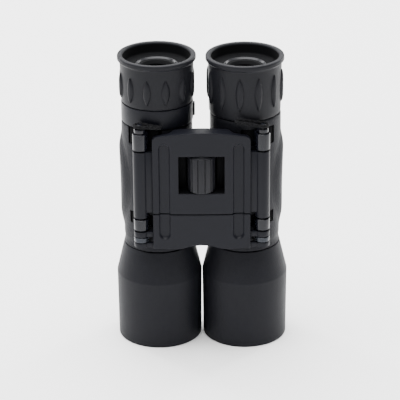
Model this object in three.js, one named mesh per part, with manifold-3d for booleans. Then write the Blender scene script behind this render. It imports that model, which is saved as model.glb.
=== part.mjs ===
// Compact folding roof-prism binoculars, standing on the two objective ends.
// Millimetres, +Z up through the eyepieces, -Y on the side of the bridge plates,
// origin under the middle of the bounding box. "left" and "right" are the user's own sides,
// so the left barrel is at +X. The model is folded, with the barrels nearly touching.
import * as THREE from "three";
import { mergeVertices } from "three/addons/utils/BufferGeometryUtils.js";
import Module from "manifold-3d";

const wasm = await Module();
wasm.setup();

// ---------- Clearances ----------
const FIT = 0.3; // between pieces that seat on each other
const FOLD_GAP = 0.25; // between the two objective ends when folded
const HINGE_GAP = 0.75; // between neighbouring knuckles, along the pin

// ---------- Barrel radii ----------
const HOOD_RADIUS = 20.2; // objective end, over its rubber, where the cone begins
const HOOD_TAPER = 0.35; // how much smaller it is at the bottom
const BODY_RADIUS = 16.3; // body, over its rubber
const CONE_STEP = 0.3; // how far the objective rubber stands out beside the body rubber at the seam
const RUBBER = 0.9; // objective rubber
const BODY_RUBBER = 0.95;
const SHELL = 1.0; // wall of the metal tubes
const LENS_RADIUS = 16.0; // objective lens
const CARRIAGE_NECK_RADIUS = 12.6;
const OCULAR_WALL = 1.6;

// ---------- Barrel heights ----------
const HOOD_EDGE_Z = 33.2; // top of the straight objective end
const SEAM_Z = 48.4; // seam between the objective rubber and the body rubber
const BODY_TOP_Z = 113.9;
const DIOPTRE_HEIGHT = 9.0;
const DIOPTRE_DROP = 3.8; // how much lower the right body ends, for its dioptre ring
const EYECUP_HEIGHT = { left: 27.0, right: 22.1 }; // the right one is pushed a little further on
const HOOD_EDGE_ROUND = 1.0;
const LENS_DEPTH_Z = 15.2; // front of the objective cell above the rim
const LENS_THICKNESS = 7.0;
const CELL_HEIGHT = 15.5;

// ---------- Hinges ----------
const PIN_OUT = 7.85; // pin axis outward of the barrel axis
const PIN_RADIUS = 1.5;
const KNUCKLE_RADIUS = 3.4;
const KNUCKLE_CLEARANCE = 0.4; // between the knuckles and the body rubber
const ARM_WIDTH = 5.6;
const SADDLE_WIDTH = 15.0; // the arm's foot, sunk in the body rubber
const UPPER_ARM_Z = 101.8;
const UPPER_ARM_HEIGHT = 8.0;
const LOWER_ARM_Z = 61.9;
const LOWER_ARM_HEIGHT = 5.4;
const UPPER_EAR_HEIGHT = 2.7; // ears of the focus plate
const LOWER_EAR_HEIGHT = 2.3;
const LUG_HEIGHT = 2.4; // lug of the objective carriage, between the ears
const PIN_HEAD_RADIUS = 2.6;
const PIN_HEAD_HEIGHT = 2.0;
const STRAP_STUD_RADIUS = 1.2;
const STRAP_STUD_HEIGHT = 1.9;

// ---------- Bridge ----------
const PLATE_HALF_WIDTH = 22.6;
const PLATE_PROUD = 0.1; // how far the plates' side edges stand forward of the knuckles
const PLATE_CROWN = 1.1; // how much further forward the middle stands
const PLATE_THICKNESS = 2.5;
const PLATE_TOP_Z = 108.7;
const PLATE_ARCH = 2.4;
const PLATE_SEAM_Z = 70.9;
const PLATE_SEAM_GAP = 0.4;
const PLATE_BOTTOM_Z = 53.0;
const PLATE_NOTCH_HALF_WIDTH = 9.5;
const PLATE_NOTCH_HEIGHT = 2.0;
const PLATE_CORNER = 2.2;
const HOUSING_HALF_WIDTH = 12.2;
const HOUSING_BACK = 15.9;
const WEB_THICKNESS = 2.0;
const WEB_SETBACK = 1.3;
const GROOVE_X = 17.1;
const GROOVE_WIDTH = 5.7;
const GROOVE_DEPTH = 1.0;
const GROOVE_BOTTOM_Z = 58.0;
const GROOVE_TOP_Z = 105.9;
const WINDOW_HALF_WIDTH = 10.6;
const WINDOW_BOTTOM_Z = 81.2;
const WINDOW_TOP_Z = 99.6;

// ---------- Focus drive ----------
const WHEEL_RADIUS = 6.4;
const WHEEL_AXIS_FRONT = 18.1; // wheel axis in front of the barrel axes
const COVER_REAR_HALF_WIDTH = 5.0;
const COVER_MOUTH_MARGIN = 1.6; // how much wider than the wheel the cover opens
const WHEEL_SLEEVE = 1.4;
const WHEEL_LANDS = 12;
const WHEEL_GROOVE = 0.45;
const SPINDLE_RADIUS = 2.0;
const SPINDLE_BEARING = 3.6; // how far the spindle enters the housing above the wheel
const FOCUS_TRAVEL = 3.0;
const NUT_RADIUS = 3.4;
const NUT_HEIGHT = 6.0;
const BOSS_HALF_WIDTH = 6.0;
const BOSS_BACK = 12.6;
const COVER_WALL = 1.2;
const COVER_SCREW_RADIUS = 1.1;
const COVER_SCREW_X = 9.6;
const COVER_SCREW_GRIP = 1.2; // how far the screws enter the housing

// ---------- Eyepieces ----------
const EYECUP_BASE_RADIUS = 16.6;
const EYECUP_NECK_RADIUS = 17.0;
const LIP_RADIUS = 18.2;
const LIP_HEIGHT = 2.2;
const LIP_OPENING_RADIUS = 16.1;
const EYECUP_DEPTH = 5.4;
const EYECUP_FLOOR = 1.8;
const EYECUP_BORE_RADIUS = 14.1;
const RIB_COUNT = 12;
const RIB_HEIGHT = 1.2;
const RIB_SPAN = { left: [4.7, 21.0], right: [2.3, 14.7] }; // from the foot of the eyecup
const EYE_RETAINER_RADIUS = 9.8;
const EYE_OPENING_RADIUS = 6.4;
const DIOPTRE_RADIUS = 16.75;
const NIB_HALF_WIDTH = 1.6; // the raised mark on the dioptre ring
const NIB_HEIGHT = 0.8;
const OCULAR_BOTTOM_DEPTH = 9.0; // how far the eyepiece reaches down into the body

// ---------- Grip pads on the body rubber ----------
const GRIP_AZIMUTH = THREE.MathUtils.degToRad(5); // forward of straight outward
const GRIP_HALF_ANGLE = THREE.MathUtils.degToRad(36);
const GRIP_BOTTOM_Z = 56.0;
const GRIP_TOP_Z = 106.0;
const GRIP_HEIGHT = 1.4;
const SHOULDER_SWELL = 0.5; // how much fuller the body is on its outer side, above the grip
const SHOULDER_BOTTOM_Z = 75.0;
const SHOULDER_TOP_Z = 105.0;
const SHOULDER_HALF_ANGLE = THREE.MathUtils.degToRad(46);

// ---------- Prisms ----------
const PRISM_BOTTOM_Z = 68.0;
const PRISM_HALF_WIDTH = 8.0;
const PRISM_HALF_DEPTH = 9.3;
const PRISM_CAGE_HEIGHT = 31.0;
const PRISM_TILT = Math.tan(Math.PI / 8);

// ---------- Facets ----------
const FINE = 36; // round the outside of the barrels, three to an eyecup rib
const INNER = 24; // round the tubes inside
const OPTIC = 20;
const SMALL = 16;

// ---------- Values that follow ----------
const BARREL_X = HOOD_RADIUS + FOLD_GAP / 2;
const PIN_X = BARREL_X + PIN_OUT;
const PIN_REACH = BODY_RADIUS + KNUCKLE_CLEARANCE + KNUCKLE_RADIUS;
const PIN_FRONT = Math.sqrt(PIN_REACH ** 2 - PIN_OUT ** 2);
const PIN_Y = -PIN_FRONT;
const PIN_TURN = Math.atan2(PIN_OUT, PIN_FRONT);
const PLATE_FRONT = PIN_FRONT + KNUCKLE_RADIUS + PLATE_PROUD;
const PIN_BORE = PIN_RADIUS + FIT;
const RUBBER_BORE = BODY_RADIUS - BODY_RUBBER;
const TUBE_RADIUS = RUBBER_BORE - FIT;
const TUBE_BORE = TUBE_RADIUS - SHELL;
const RIM_RADIUS = HOOD_RADIUS - HOOD_TAPER;
const CONE_TOP_RADIUS = BODY_RADIUS + CONE_STEP;
const HOUSING_RADIUS = HOOD_RADIUS - RUBBER - FIT;
const HOUSING_BORE = HOUSING_RADIUS - SHELL;
const CELL_RADIUS = HOUSING_BORE - FIT;
const CELL_BORE = LENS_RADIUS + FIT;
const LENS_SHELF_RADIUS = LENS_RADIUS - 0.9;
const SPIGOT_RADIUS = TUBE_BORE - FIT;
const SPIGOT_BORE = CARRIAGE_NECK_RADIUS + FIT;
const SPIGOT_HEIGHT = 3.0;
const UPPER_ARM_TOP_Z = UPPER_ARM_Z + UPPER_ARM_HEIGHT;
const LOWER_ARM_TOP_Z = LOWER_ARM_Z + LOWER_ARM_HEIGHT;
const UPPER_EAR_Z = LOWER_ARM_Z - HINGE_GAP - UPPER_EAR_HEIGHT;
const LUG_Z = UPPER_EAR_Z - FIT - LUG_HEIGHT;
const LOWER_EAR_Z = LUG_Z - FIT - LOWER_EAR_HEIGHT;
const BRIDGE_KNUCKLE_Z = LOWER_ARM_TOP_Z + HINGE_GAP;
const BRIDGE_KNUCKLE_TOP_Z = UPPER_ARM_Z - HINGE_GAP;
const CARRIAGE_TOP_Z = LUG_Z + LUG_HEIGHT + 1.2;
const WHEEL_Y = -WHEEL_AXIS_FRONT;
const WHEEL_BOTTOM_Z = WINDOW_BOTTOM_Z + FIT;
const WHEEL_TOP_Z = WINDOW_TOP_Z - FIT;
const HUB_RADIUS = WHEEL_RADIUS - WHEEL_SLEEVE;
const SPINDLE_BORE = SPINDLE_RADIUS + FIT;
const FOCUS_PLATE_TOP_Z = PLATE_SEAM_Z - PLATE_SEAM_GAP;
const BOSS_BOTTOM_Z = PLATE_BOTTOM_Z + PLATE_NOTCH_HEIGHT + 2.0;
const NUT_Z = FOCUS_PLATE_TOP_Z - FIT - NUT_HEIGHT;
const SPINDLE_BOTTOM_Z = NUT_Z - FOCUS_TRAVEL;
const EYECUP_Z = {
  left: BODY_TOP_Z + FIT,
  right: BODY_TOP_Z - DIOPTRE_DROP + DIOPTRE_HEIGHT + 2 * FIT,
};
const EYECUP_TOP_Z = {
  left: EYECUP_Z.left + EYECUP_HEIGHT.left,
  right: EYECUP_Z.right + EYECUP_HEIGHT.right,
};
const BODY_END_Z = { left: BODY_TOP_Z, right: BODY_TOP_Z - DIOPTRE_DROP };
const RIB_TURN = { left: -9, right: -15 }; // degrees that the ribs stand round from the front

// ---------- Finishes ----------
const finish = (color, roughness, metalness = 0) =>
  new THREE.MeshStandardMaterial({ color, roughness, metalness });
const RUBBER_BLACK = finish(0x17181a, 0.85);
const CUP_RUBBER = finish(0x1a1b1d, 0.8);
const SATIN_BLACK = finish(0x1c1d20, 0.45);
const BLACK_METAL = finish(0x101114, 0.4, 0.6);
const STEEL = finish(0xb9bcc2, 0.3, 1);
const BRASS = finish(0xb08d3c, 0.35, 1);
const GLASS = finish(0x9fb7c6, 0.05);
const CORD_BLACK = finish(0x131416, 0.9);

// ---------- Solids ----------
// A closed geometry as a solid that can be joined and cut.
function solid(geometry) {
  const bare = geometry.clone();
  bare.deleteAttribute("normal");
  bare.deleteAttribute("uv");
  const merged = mergeVertices(bare, 1e-4);
  const corners = merged.index.array;
  const kept = [];
  for (let i = 0; i < corners.length; i += 3) {
    const [a, b, c] = corners.slice(i, i + 3);
    if (a !== b && b !== c && c !== a) kept.push(a, b, c);
  }
  return new wasm.Manifold(
    new wasm.Mesh({
      numProp: 3,
      vertProperties: merged.attributes.position.array,
      triVerts: new Uint32Array(kept),
    }),
  );
}

const join = (first, ...others) => others.reduce((sum, other) => sum.add(other), first);
const cut = (first, ...others) => others.reduce((rest, other) => rest.subtract(other), first);

function box(x0, x1, y0, y1, z0, z1) {
  const geometry = new THREE.BoxGeometry(x1 - x0, y1 - y0, z1 - z0);
  return solid(geometry.translate((x0 + x1) / 2, (y0 + y1) / 2, (z0 + z1) / 2));
}

function rod(radius, z0, z1, x = 0, y = 0, facets = SMALL) {
  const geometry = new THREE.CylinderGeometry(radius, radius, z1 - z0, facets);
  return solid(geometry.rotateX(Math.PI / 2).translate(x, y, (z0 + z1) / 2));
}

// A turned shape about Z. The outline is a list of [radius, z], anticlockwise; it closes itself,
// unless it starts and ends on the axis. relief(azimuth, z) adds to the radius of its outer side.
function turned(outline, facets = FINE, relief = null, reliefFrom = 0) {
  const points = outline.map(([radius, z]) => new THREE.Vector2(radius, z));
  if (outline[0][0] > 0) points.push(points[0].clone());
  const geometry = new THREE.LatheGeometry(points, facets).rotateX(Math.PI / 2);
  if (relief) {
    const place = geometry.attributes.position;
    for (let i = 0; i < place.count; i++) {
      const radius = Math.hypot(place.getX(i), place.getY(i));
      if (radius < reliefFrom) continue;
      const azimuth = Math.atan2(place.getX(i), -place.getY(i));
      const scale = 1 + relief(azimuth, place.getZ(i)) / radius;
      place.setXY(i, place.getX(i) * scale, place.getY(i) * scale);
    }
  }
  return solid(geometry);
}

// A flat outline of [x, y] pushed up from z0 to z1.
function upright(outline, z0, z1) {
  const shape = new THREE.Shape(outline.map(([x, y]) => new THREE.Vector2(x, y)));
  const geometry = new THREE.ExtrudeGeometry(shape, { depth: z1 - z0, bevelEnabled: false });
  return solid(geometry.translate(0, 0, z0));
}

// An outline of [x, z] seen from the front, pushed back from y0 to y1.
function facing(shape, y0, y1, curveSegments = 6) {
  const geometry = new THREE.ExtrudeGeometry(shape, { depth: y1 - y0, bevelEnabled: false, curveSegments });
  return solid(geometry.rotateX(Math.PI / 2).translate(0, y1, 0));
}

// Points on the circle arc between two ends, bulging by rise to the left of their line.
function arc([x0, y0], [x1, y1], rise, steps) {
  const along = new THREE.Vector2(x1 - x0, y1 - y0);
  const side = new THREE.Vector2(-along.y, along.x).normalize();
  return Array.from({ length: steps + 1 }, (_, i) => {
    const t = i / steps;
    const lift = 4 * rise * t * (1 - t);
    return [x0 + along.x * t + side.x * lift, y0 + along.y * t + side.y * lift];
  });
}

// ---------- The object ----------
const binoculars = new THREE.Group();
binoculars.name = "folding_binoculars";
// The origin sits in the middle of the depth.
binoculars.position.y = (WHEEL_AXIS_FRONT + WHEEL_RADIUS - HOOD_RADIUS) / 2;

function piece(name, made, material, parent = binoculars) {
  const { numProp, vertProperties, triVerts } = made.getMesh();
  const places = new Float32Array((vertProperties.length / numProp) * 3);
  for (let i = 0; i < places.length / 3; i++) {
    places.set(vertProperties.subarray(i * numProp, i * numProp + 3), i * 3);
  }
  const geometry = new THREE.BufferGeometry();
  geometry.setAttribute("position", new THREE.BufferAttribute(places, 3));
  geometry.setIndex(new THREE.BufferAttribute(triVerts, 1));
  geometry.computeVertexNormals();
  const mesh = new THREE.Mesh(geometry, material);
  mesh.name = name;
  parent.add(mesh);
  return mesh;
}

// A knuckle on the pin axis of one side of the bridge, with the web that joins it to a plate.
function bridgeKnuckle(side, z0, z1, webBottom = z0) {
  const webFront = -PLATE_FRONT + WEB_SETBACK;
  const inner = side * (PLATE_HALF_WIDTH - 1);
  const outer = side * PIN_X;
  const web = box(
    Math.min(inner, outer), Math.max(inner, outer), webFront, webFront + WEB_THICKNESS, webBottom, z1);
  return join(rod(KNUCKLE_RADIUS, z0, z1, side * PIN_X, PIN_Y), web);
}

const pinBore = (side, z0, z1) => rod(PIN_BORE, z0 - 1, z1 + 1, side * PIN_X, PIN_Y);

// Plan of the plates: a shallow arc in front, flat behind, thick in the middle when it is a housing.
function platePlan(middleHalfWidth, middleBack) {
  const front = arc(
    [-PLATE_HALF_WIDTH, -PLATE_FRONT], [PLATE_HALF_WIDTH, -PLATE_FRONT], -PLATE_CROWN, 6);
  const back = -PLATE_FRONT + PLATE_THICKNESS;
  const shoulder = middleHalfWidth + 2.5;
  return [
    ...front,
    [PLATE_HALF_WIDTH, back],
    [shoulder, back],
    [middleHalfWidth, -middleBack],
    [-middleHalfWidth, -middleBack],
    [-shoulder, back],
    [-PLATE_HALF_WIDTH, back],
  ];
}

// The two shallow grooves with round ends that run down both plates.
function plateGrooves() {
  const radius = GROOVE_WIDTH / 2;
  const frontAtGroove =
    PLATE_FRONT + PLATE_CROWN * (1 - (GROOVE_X / PLATE_HALF_WIDTH) ** 2);
  return [-1, 1].map((side) => {
    const shape = new THREE.Shape();
    shape.absarc(side * GROOVE_X, GROOVE_TOP_Z - radius, radius, 0, Math.PI);
    shape.absarc(side * GROOVE_X, GROOVE_BOTTOM_Z + radius, radius, Math.PI, 2 * Math.PI);
    return facing(shape, -frontAtGroove - 2, -frontAtGroove + GROOVE_DEPTH, 5);
  });
}

function upperPlateFace() {
  const shape = new THREE.Shape();
  shape.moveTo(-PLATE_HALF_WIDTH, PLATE_SEAM_Z);
  shape.lineTo(PLATE_HALF_WIDTH, PLATE_SEAM_Z);
  shape.lineTo(PLATE_HALF_WIDTH, PLATE_TOP_Z - PLATE_CORNER);
  shape.quadraticCurveTo(
    PLATE_HALF_WIDTH, PLATE_TOP_Z, PLATE_HALF_WIDTH - PLATE_CORNER, PLATE_TOP_Z + PLATE_CORNER / 5);
  shape.quadraticCurveTo(
    0, PLATE_TOP_Z + 2 * PLATE_ARCH - PLATE_CORNER / 5,
    -PLATE_HALF_WIDTH + PLATE_CORNER, PLATE_TOP_Z + PLATE_CORNER / 5);
  shape.quadraticCurveTo(
    -PLATE_HALF_WIDTH, PLATE_TOP_Z, -PLATE_HALF_WIDTH, PLATE_TOP_Z - PLATE_CORNER);
  return shape;
}

function focusPlateFace() {
  const shape = new THREE.Shape();
  shape.moveTo(-PLATE_HALF_WIDTH, PLATE_BOTTOM_Z);
  shape.lineTo(-PLATE_NOTCH_HALF_WIDTH, PLATE_BOTTOM_Z);
  shape.quadraticCurveTo(
    0, PLATE_BOTTOM_Z + 2 * PLATE_NOTCH_HEIGHT, PLATE_NOTCH_HALF_WIDTH, PLATE_BOTTOM_Z);
  shape.lineTo(PLATE_HALF_WIDTH, PLATE_BOTTOM_Z);
  shape.lineTo(PLATE_HALF_WIDTH, FOCUS_PLATE_TOP_Z);
  shape.lineTo(-PLATE_HALF_WIDTH, FOCUS_PLATE_TOP_Z);
  return shape;
}

function buildBridge() {
  const topZ = PLATE_TOP_Z + PLATE_ARCH;
  const face = facing(upperPlateFace(), -PLATE_FRONT - PLATE_CROWN - 1, -HOUSING_BACK + 1);
  const slab = upright(platePlan(HOUSING_HALF_WIDTH, HOUSING_BACK), PLATE_SEAM_Z, topZ).intersect(face);
  const knuckles = [-1, 1].map((side) =>
    bridgeKnuckle(side, BRIDGE_KNUCKLE_Z, BRIDGE_KNUCKLE_TOP_Z, PLATE_SEAM_Z));
  const bores = [-1, 1].map((side) => pinBore(side, BRIDGE_KNUCKLE_Z, BRIDGE_KNUCKLE_TOP_Z));
  const window = box(
    -WINDOW_HALF_WIDTH, WINDOW_HALF_WIDTH, -PLATE_FRONT - 3, -HOUSING_BACK + 1,
    WINDOW_BOTTOM_Z, WINDOW_TOP_Z);
  const spindleBore = rod(SPINDLE_BORE, PLATE_SEAM_Z - 1, WINDOW_TOP_Z + SPINDLE_BEARING + FIT, 0, WHEEL_Y);
  const screwHoles = coverScrewPlaces().map(([x, z]) =>
    coverScrew(x, z, COVER_SCREW_RADIUS + FIT, COVER_SCREW_GRIP + FIT));
  piece(
    "upper_plate",
    cut(join(slab, ...knuckles), ...bores, ...plateGrooves(), window, spindleBore, ...screwHoles),
    SATIN_BLACK,
  );
  buildBackCover();
  for (const [name, side] of [["left", 1], ["right", -1]]) buildPin(name, side);
}

const COVER_BOTTOM_Z = WINDOW_BOTTOM_Z - 5;
const COVER_TOP_Z = WINDOW_TOP_Z + 5;

const coverScrewPlaces = () =>
  [-1, 1].flatMap((side) => [COVER_BOTTOM_Z + 2.2, COVER_TOP_Z - 2.2].map((z) => [side * COVER_SCREW_X, z]));

// A screw that goes forward through the flange of the back cover into the housing.
function coverScrew(x, z, radius, intoHousing) {
  const back = -HOUSING_BACK + FIT + COVER_WALL;
  const front = -HOUSING_BACK - intoHousing;
  const geometry = new THREE.CylinderGeometry(radius, radius, back - front + 0.5, 12);
  return solid(geometry.translate(x, (back + front + 0.5) / 2, z));
}

// The cover behind the focus wheel: a flanged shell, open toward the front.
function buildBackCover() {
  const flangeBack = -HOUSING_BACK + FIT;
  const rear = WHEEL_Y + WHEEL_RADIUS + FIT;
  const mouth = WHEEL_RADIUS + COVER_MOUTH_MARGIN;
  const shell = (grow) => [
    [-mouth - grow, flangeBack - 0.01],
    [mouth + grow, flangeBack - 0.01],
    [COVER_REAR_HALF_WIDTH + grow, rear + grow],
    [-COVER_REAR_HALF_WIDTH - grow, rear + grow],
  ];
  const flange = box(
    -HOUSING_HALF_WIDTH, HOUSING_HALF_WIDTH, flangeBack, flangeBack + COVER_WALL,
    COVER_BOTTOM_Z, COVER_TOP_Z);
  const hump = upright(shell(COVER_WALL), COVER_BOTTOM_Z + 1, COVER_TOP_Z - 1);
  const hollow = upright(shell(0), WINDOW_BOTTOM_Z, WINDOW_TOP_Z);
  const opening = box(-mouth, mouth, flangeBack - 2, flangeBack + 0.1, WINDOW_BOTTOM_Z, WINDOW_TOP_Z);
  const holes = coverScrewPlaces().map(([x, z]) => coverScrew(x, z, COVER_SCREW_RADIUS + FIT, 2));
  const inFront = box(
    -PLATE_HALF_WIDTH, PLATE_HALF_WIDTH, -2 * PLATE_FRONT, flangeBack, COVER_BOTTOM_Z - 1, COVER_TOP_Z + 1);
  const trimmed = cut(join(flange, hump), inFront);
  piece("back_cover", cut(trimmed, hollow, opening, ...holes), SATIN_BLACK);
  coverScrewPlaces().forEach(([x, z], i) =>
    piece(`back_cover_screw_${i + 1}`, coverScrew(x, z, COVER_SCREW_RADIUS, COVER_SCREW_GRIP), STEEL));
}

// A hinge pin runs through the barrel's arms and the bridge knuckle; a short one carries the focus ears.
function buildPin(name, side) {
  const headZ = UPPER_ARM_TOP_Z + FIT;
  const x = side * PIN_X;
  const shank = rod(PIN_RADIUS, LOWER_ARM_Z, headZ + 0.5, x, PIN_Y);
  const head = rod(PIN_HEAD_RADIUS, headZ, headZ + PIN_HEAD_HEIGHT, x, PIN_Y, 20);
  const stud = rod(STRAP_STUD_RADIUS, headZ + 1, headZ + PIN_HEAD_HEIGHT + STRAP_STUD_HEIGHT, x, PIN_Y, 12);
  piece(`hinge_pin_${name}`, join(shank, head, stud), BLACK_METAL);
  const pinTop = UPPER_EAR_Z + UPPER_EAR_HEIGHT;
  piece(`focus_pin_${name}`, rod(PIN_RADIUS, LOWER_EAR_Z, pinTop, x, PIN_Y), STEEL);
  buildStrapLoop(name, side, headZ + PIN_HEAD_HEIGHT);
}

// ---------- Strap loops ----------
const CORD_RADIUS = 0.9;
// Offsets from the pin axis, on top of its head: inward, back and up. The loop is tied round the stud.
const STRAP_LOOP = {
  left: [
    [-2.5, 0.0, 1.0], [-1.6, 1.8, 1.0], [0.4, 2.2, 1.1], [3.2, 1.2, 1.9], [6.6, 0.1, 3.0],
    [10.2, -0.4, 3.6], [12.4, -1.0, 3.4], [12.2, -2.6, 3.1], [9.6, -2.6, 2.9], [6.2, -2.2, 2.2],
    [3.0, -2.1, 1.4], [0.4, -2.4, 1.1], [-1.8, -1.8, 1.0],
  ],
  right: [
    [-2.5, 0.0, 1.0], [-1.6, 1.8, 1.0], [0.4, 2.1, 1.0], [3.0, 1.3, 0.9], [5.8, 0.4, 0.5],
    [8.4, 0.1, 0.2], [9.8, -0.7, 0.1], [8.8, -1.8, 0.3], [6.0, -1.9, 0.6], [3.0, -2.0, 0.9],
    [0.4, -2.4, 1.0], [-1.8, -1.8, 1.0],
  ],
};

function buildStrapLoop(name, side, z) {
  const points = STRAP_LOOP[name].map(
    ([inward, back, up]) => new THREE.Vector3(side * (PIN_X - inward), PIN_Y + back, z + FIT + up));
  const path = new THREE.CatmullRomCurve3(points, true);
  const section = new THREE.Shape();
  section.absarc(0, 0, CORD_RADIUS, 0, 2 * Math.PI);
  const geometry = new THREE.ExtrudeGeometry(section, { steps: 26, extrudePath: path, curveSegments: 3 });
  piece(`strap_loop_${name}`, solid(geometry), CORD_BLACK);
}

// ---------- Focus drive ----------
function buildFocusPlate() {
  const face = facing(focusPlateFace(), -PLATE_FRONT - PLATE_CROWN - 1, -BOSS_BACK + 1);
  const plan = platePlan(BOSS_HALF_WIDTH + 4, HOUSING_BACK + 1);
  const slab = upright(plan, PLATE_BOTTOM_Z, FOCUS_PLATE_TOP_Z).intersect(face);
  const boss = box(
    -BOSS_HALF_WIDTH, BOSS_HALF_WIDTH, -PLATE_FRONT, -BOSS_BACK, BOSS_BOTTOM_Z, FOCUS_PLATE_TOP_Z);
  const ears = [-1, 1].flatMap((side) => [
    bridgeKnuckle(side, UPPER_EAR_Z, UPPER_EAR_Z + UPPER_EAR_HEIGHT),
    bridgeKnuckle(side, LOWER_EAR_Z, LOWER_EAR_Z + LOWER_EAR_HEIGHT),
  ]);
  const bores = [-1, 1].map((side) => pinBore(side, LOWER_EAR_Z, UPPER_EAR_Z + UPPER_EAR_HEIGHT));
  const nutSeat = rod(NUT_RADIUS + FIT, NUT_Z - FIT, FOCUS_PLATE_TOP_Z + 1, 0, WHEEL_Y);
  const spindleBore = rod(SPINDLE_BORE, BOSS_BOTTOM_Z - 4, FOCUS_PLATE_TOP_Z + 1, 0, WHEEL_Y);
  piece(
    "focus_plate",
    cut(join(slab, boss, ...ears), ...bores, ...plateGrooves(), nutSeat, spindleBore),
    SATIN_BLACK,
  );
  const nut = rod(NUT_RADIUS, NUT_Z, NUT_Z + NUT_HEIGHT, 0, WHEEL_Y);
  piece("focus_nut", cut(nut, rod(SPINDLE_BORE, NUT_Z - 1, NUT_Z + NUT_HEIGHT + 1, 0, WHEEL_Y)), BRASS);
}

function buildFocusWheel() {
  const bearingTop = WINDOW_TOP_Z + SPINDLE_BEARING;
  piece("focus_spindle", rod(SPINDLE_RADIUS, SPINDLE_BOTTOM_Z, bearingTop, 0, WHEEL_Y), STEEL);
  const hub = rod(HUB_RADIUS, WHEEL_BOTTOM_Z, WHEEL_TOP_Z, 0, WHEEL_Y, 24);
  const bore = rod(SPINDLE_BORE, WHEEL_BOTTOM_Z - 1, WHEEL_TOP_Z + 1, 0, WHEEL_Y);
  piece("focus_wheel_hub", cut(hub, bore), BLACK_METAL);
  const sleeve = new THREE.Shape();
  const facets = WHEEL_LANDS * 4;
  for (let i = 0; i < facets; i++) {
    const turn = ((i + 0.5) / facets) * 2 * Math.PI;
    const radius = i % 4 === 0 ? WHEEL_RADIUS - WHEEL_GROOVE : WHEEL_RADIUS;
    sleeve.lineTo(radius * Math.cos(turn), radius * Math.sin(turn));
  }
  const geometry = new THREE.ExtrudeGeometry(
    sleeve, { depth: WHEEL_TOP_Z - WHEEL_BOTTOM_Z, bevelEnabled: false });
  const grip = solid(geometry.translate(0, WHEEL_Y, WHEEL_BOTTOM_Z));
  const seat = rod(HUB_RADIUS + FIT, WHEEL_BOTTOM_Z - 1, WHEEL_TOP_Z + 1, 0, WHEEL_Y, 24);
  piece("focus_wheel_sleeve", cut(grip, seat), RUBBER_BLACK);
}

// ---------- Barrels ----------
// A block that reaches forward from the barrel axis toward the pin, before the barrel's own turn.
const toward = (halfWidth, near, far, z0, z1) => box(-halfWidth, halfWidth, -far, -near, z0, z1);
const turnToPin = (made, side) => made.rotate([0, 0, side * THREE.MathUtils.radToDeg(PIN_TURN)]);

function barrelArm(z0, z1) {
  const foot = toward(SADDLE_WIDTH / 2, 0, TUBE_RADIUS + 2, z0, z1).intersect(
    rod(TUBE_RADIUS + 0.6, z0, z1, 0, 0, INNER));
  const neck = toward(ARM_WIDTH / 2, 0, PIN_REACH, z0, z1);
  const knuckle = rod(KNUCKLE_RADIUS, z0, z1, 0, -PIN_REACH);
  const around = rod(TUBE_BORE + 0.2, z0 - 1, z1 + 1, 0, 0, INNER);
  return cut(join(foot, neck, knuckle), around, rod(PIN_BORE, z0 - 1, z1 + 1, 0, -PIN_REACH));
}

function buildTube(name, side, barrel) {
  const top = BODY_END_Z[name];
  const tube = turned([
    [TUBE_RADIUS, SEAM_Z + FIT], [TUBE_RADIUS, top], [TUBE_BORE, top], [TUBE_BORE, SEAM_Z + FIT],
  ], INNER);
  const lugSlot = toward(
    ARM_WIDTH / 2 + FIT, 5, 18, LUG_Z - FOCUS_TRAVEL - FIT, LUG_Z + LUG_HEIGHT + FIT);
  const arms = [
    barrelArm(UPPER_ARM_Z, UPPER_ARM_TOP_Z),
    barrelArm(LOWER_ARM_Z, LOWER_ARM_TOP_Z),
  ];
  piece(`barrel_tube_${name}`, turnToPin(cut(join(tube, ...arms), lugSlot), side), BLACK_METAL, barrel);
}

// How far a leaf shape stands at a place given as shares of its half width and half height.
function leaf(across, along) {
  if (Math.abs(along) >= 1) return 0;
  const edge = 1 - along * along;
  const inside = edge - Math.abs(across);
  return THREE.MathUtils.smoothstep(inside, 0, 0.65);
}

function buildArmour(name, side, barrel) {
  const top = BODY_END_Z[name];
  const bottom = SEAM_Z + FIT;
  const middle = (GRIP_BOTTOM_Z + GRIP_TOP_Z) / 2;
  const halfHeight = (GRIP_TOP_Z - GRIP_BOTTOM_Z) / 2;
  const rows = Array.from({ length: 9 }, (_, i) => [BODY_RADIUS, middle + halfHeight * (i / 4 - 1)]);
  const grip = (azimuth, z) => {
    const outward = (side * Math.PI) / 2 - side * GRIP_AZIMUTH;
    const away = Math.atan2(Math.sin(azimuth - outward), Math.cos(azimuth - outward));
    const nearness = Math.max(0, 1 - (away / SHOULDER_HALF_ANGLE) ** 2);
    const height = THREE.MathUtils.smoothstep(z, SHOULDER_BOTTOM_Z, SHOULDER_TOP_Z);
    const swell = SHOULDER_SWELL * nearness * height;
    return GRIP_HEIGHT * leaf(away / GRIP_HALF_ANGLE, (z - middle) / halfHeight) + swell;
  };
  const skin = turned(
    [
      [RUBBER_BORE, bottom], [BODY_RADIUS + 0.1, bottom], [BODY_RADIUS - 0.3, bottom + 2.5], ...rows,
      [BODY_RADIUS, top - 0.5], [BODY_RADIUS - 0.5, top], [RUBBER_BORE, top],
    ],
    FINE, grip, RUBBER_BORE + 0.3,
  );
  const slots = [
    [SADDLE_WIDTH / 2 + 0.8, UPPER_ARM_Z - FIT, UPPER_ARM_TOP_Z + FIT],
    [SADDLE_WIDTH / 2 + 0.8, LOWER_ARM_Z - FIT, LOWER_ARM_TOP_Z + FIT],
    [ARM_WIDTH / 2 + FIT, LUG_Z - FOCUS_TRAVEL - FIT, LUG_Z + LUG_HEIGHT + FIT],
  ].map(([halfWidth, z0, z1]) => turnToPin(toward(halfWidth, 5, 20, z0, z1), side));
  piece(`body_armour_${name}`, cut(skin, ...slots), RUBBER_BLACK, barrel);
}

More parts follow.
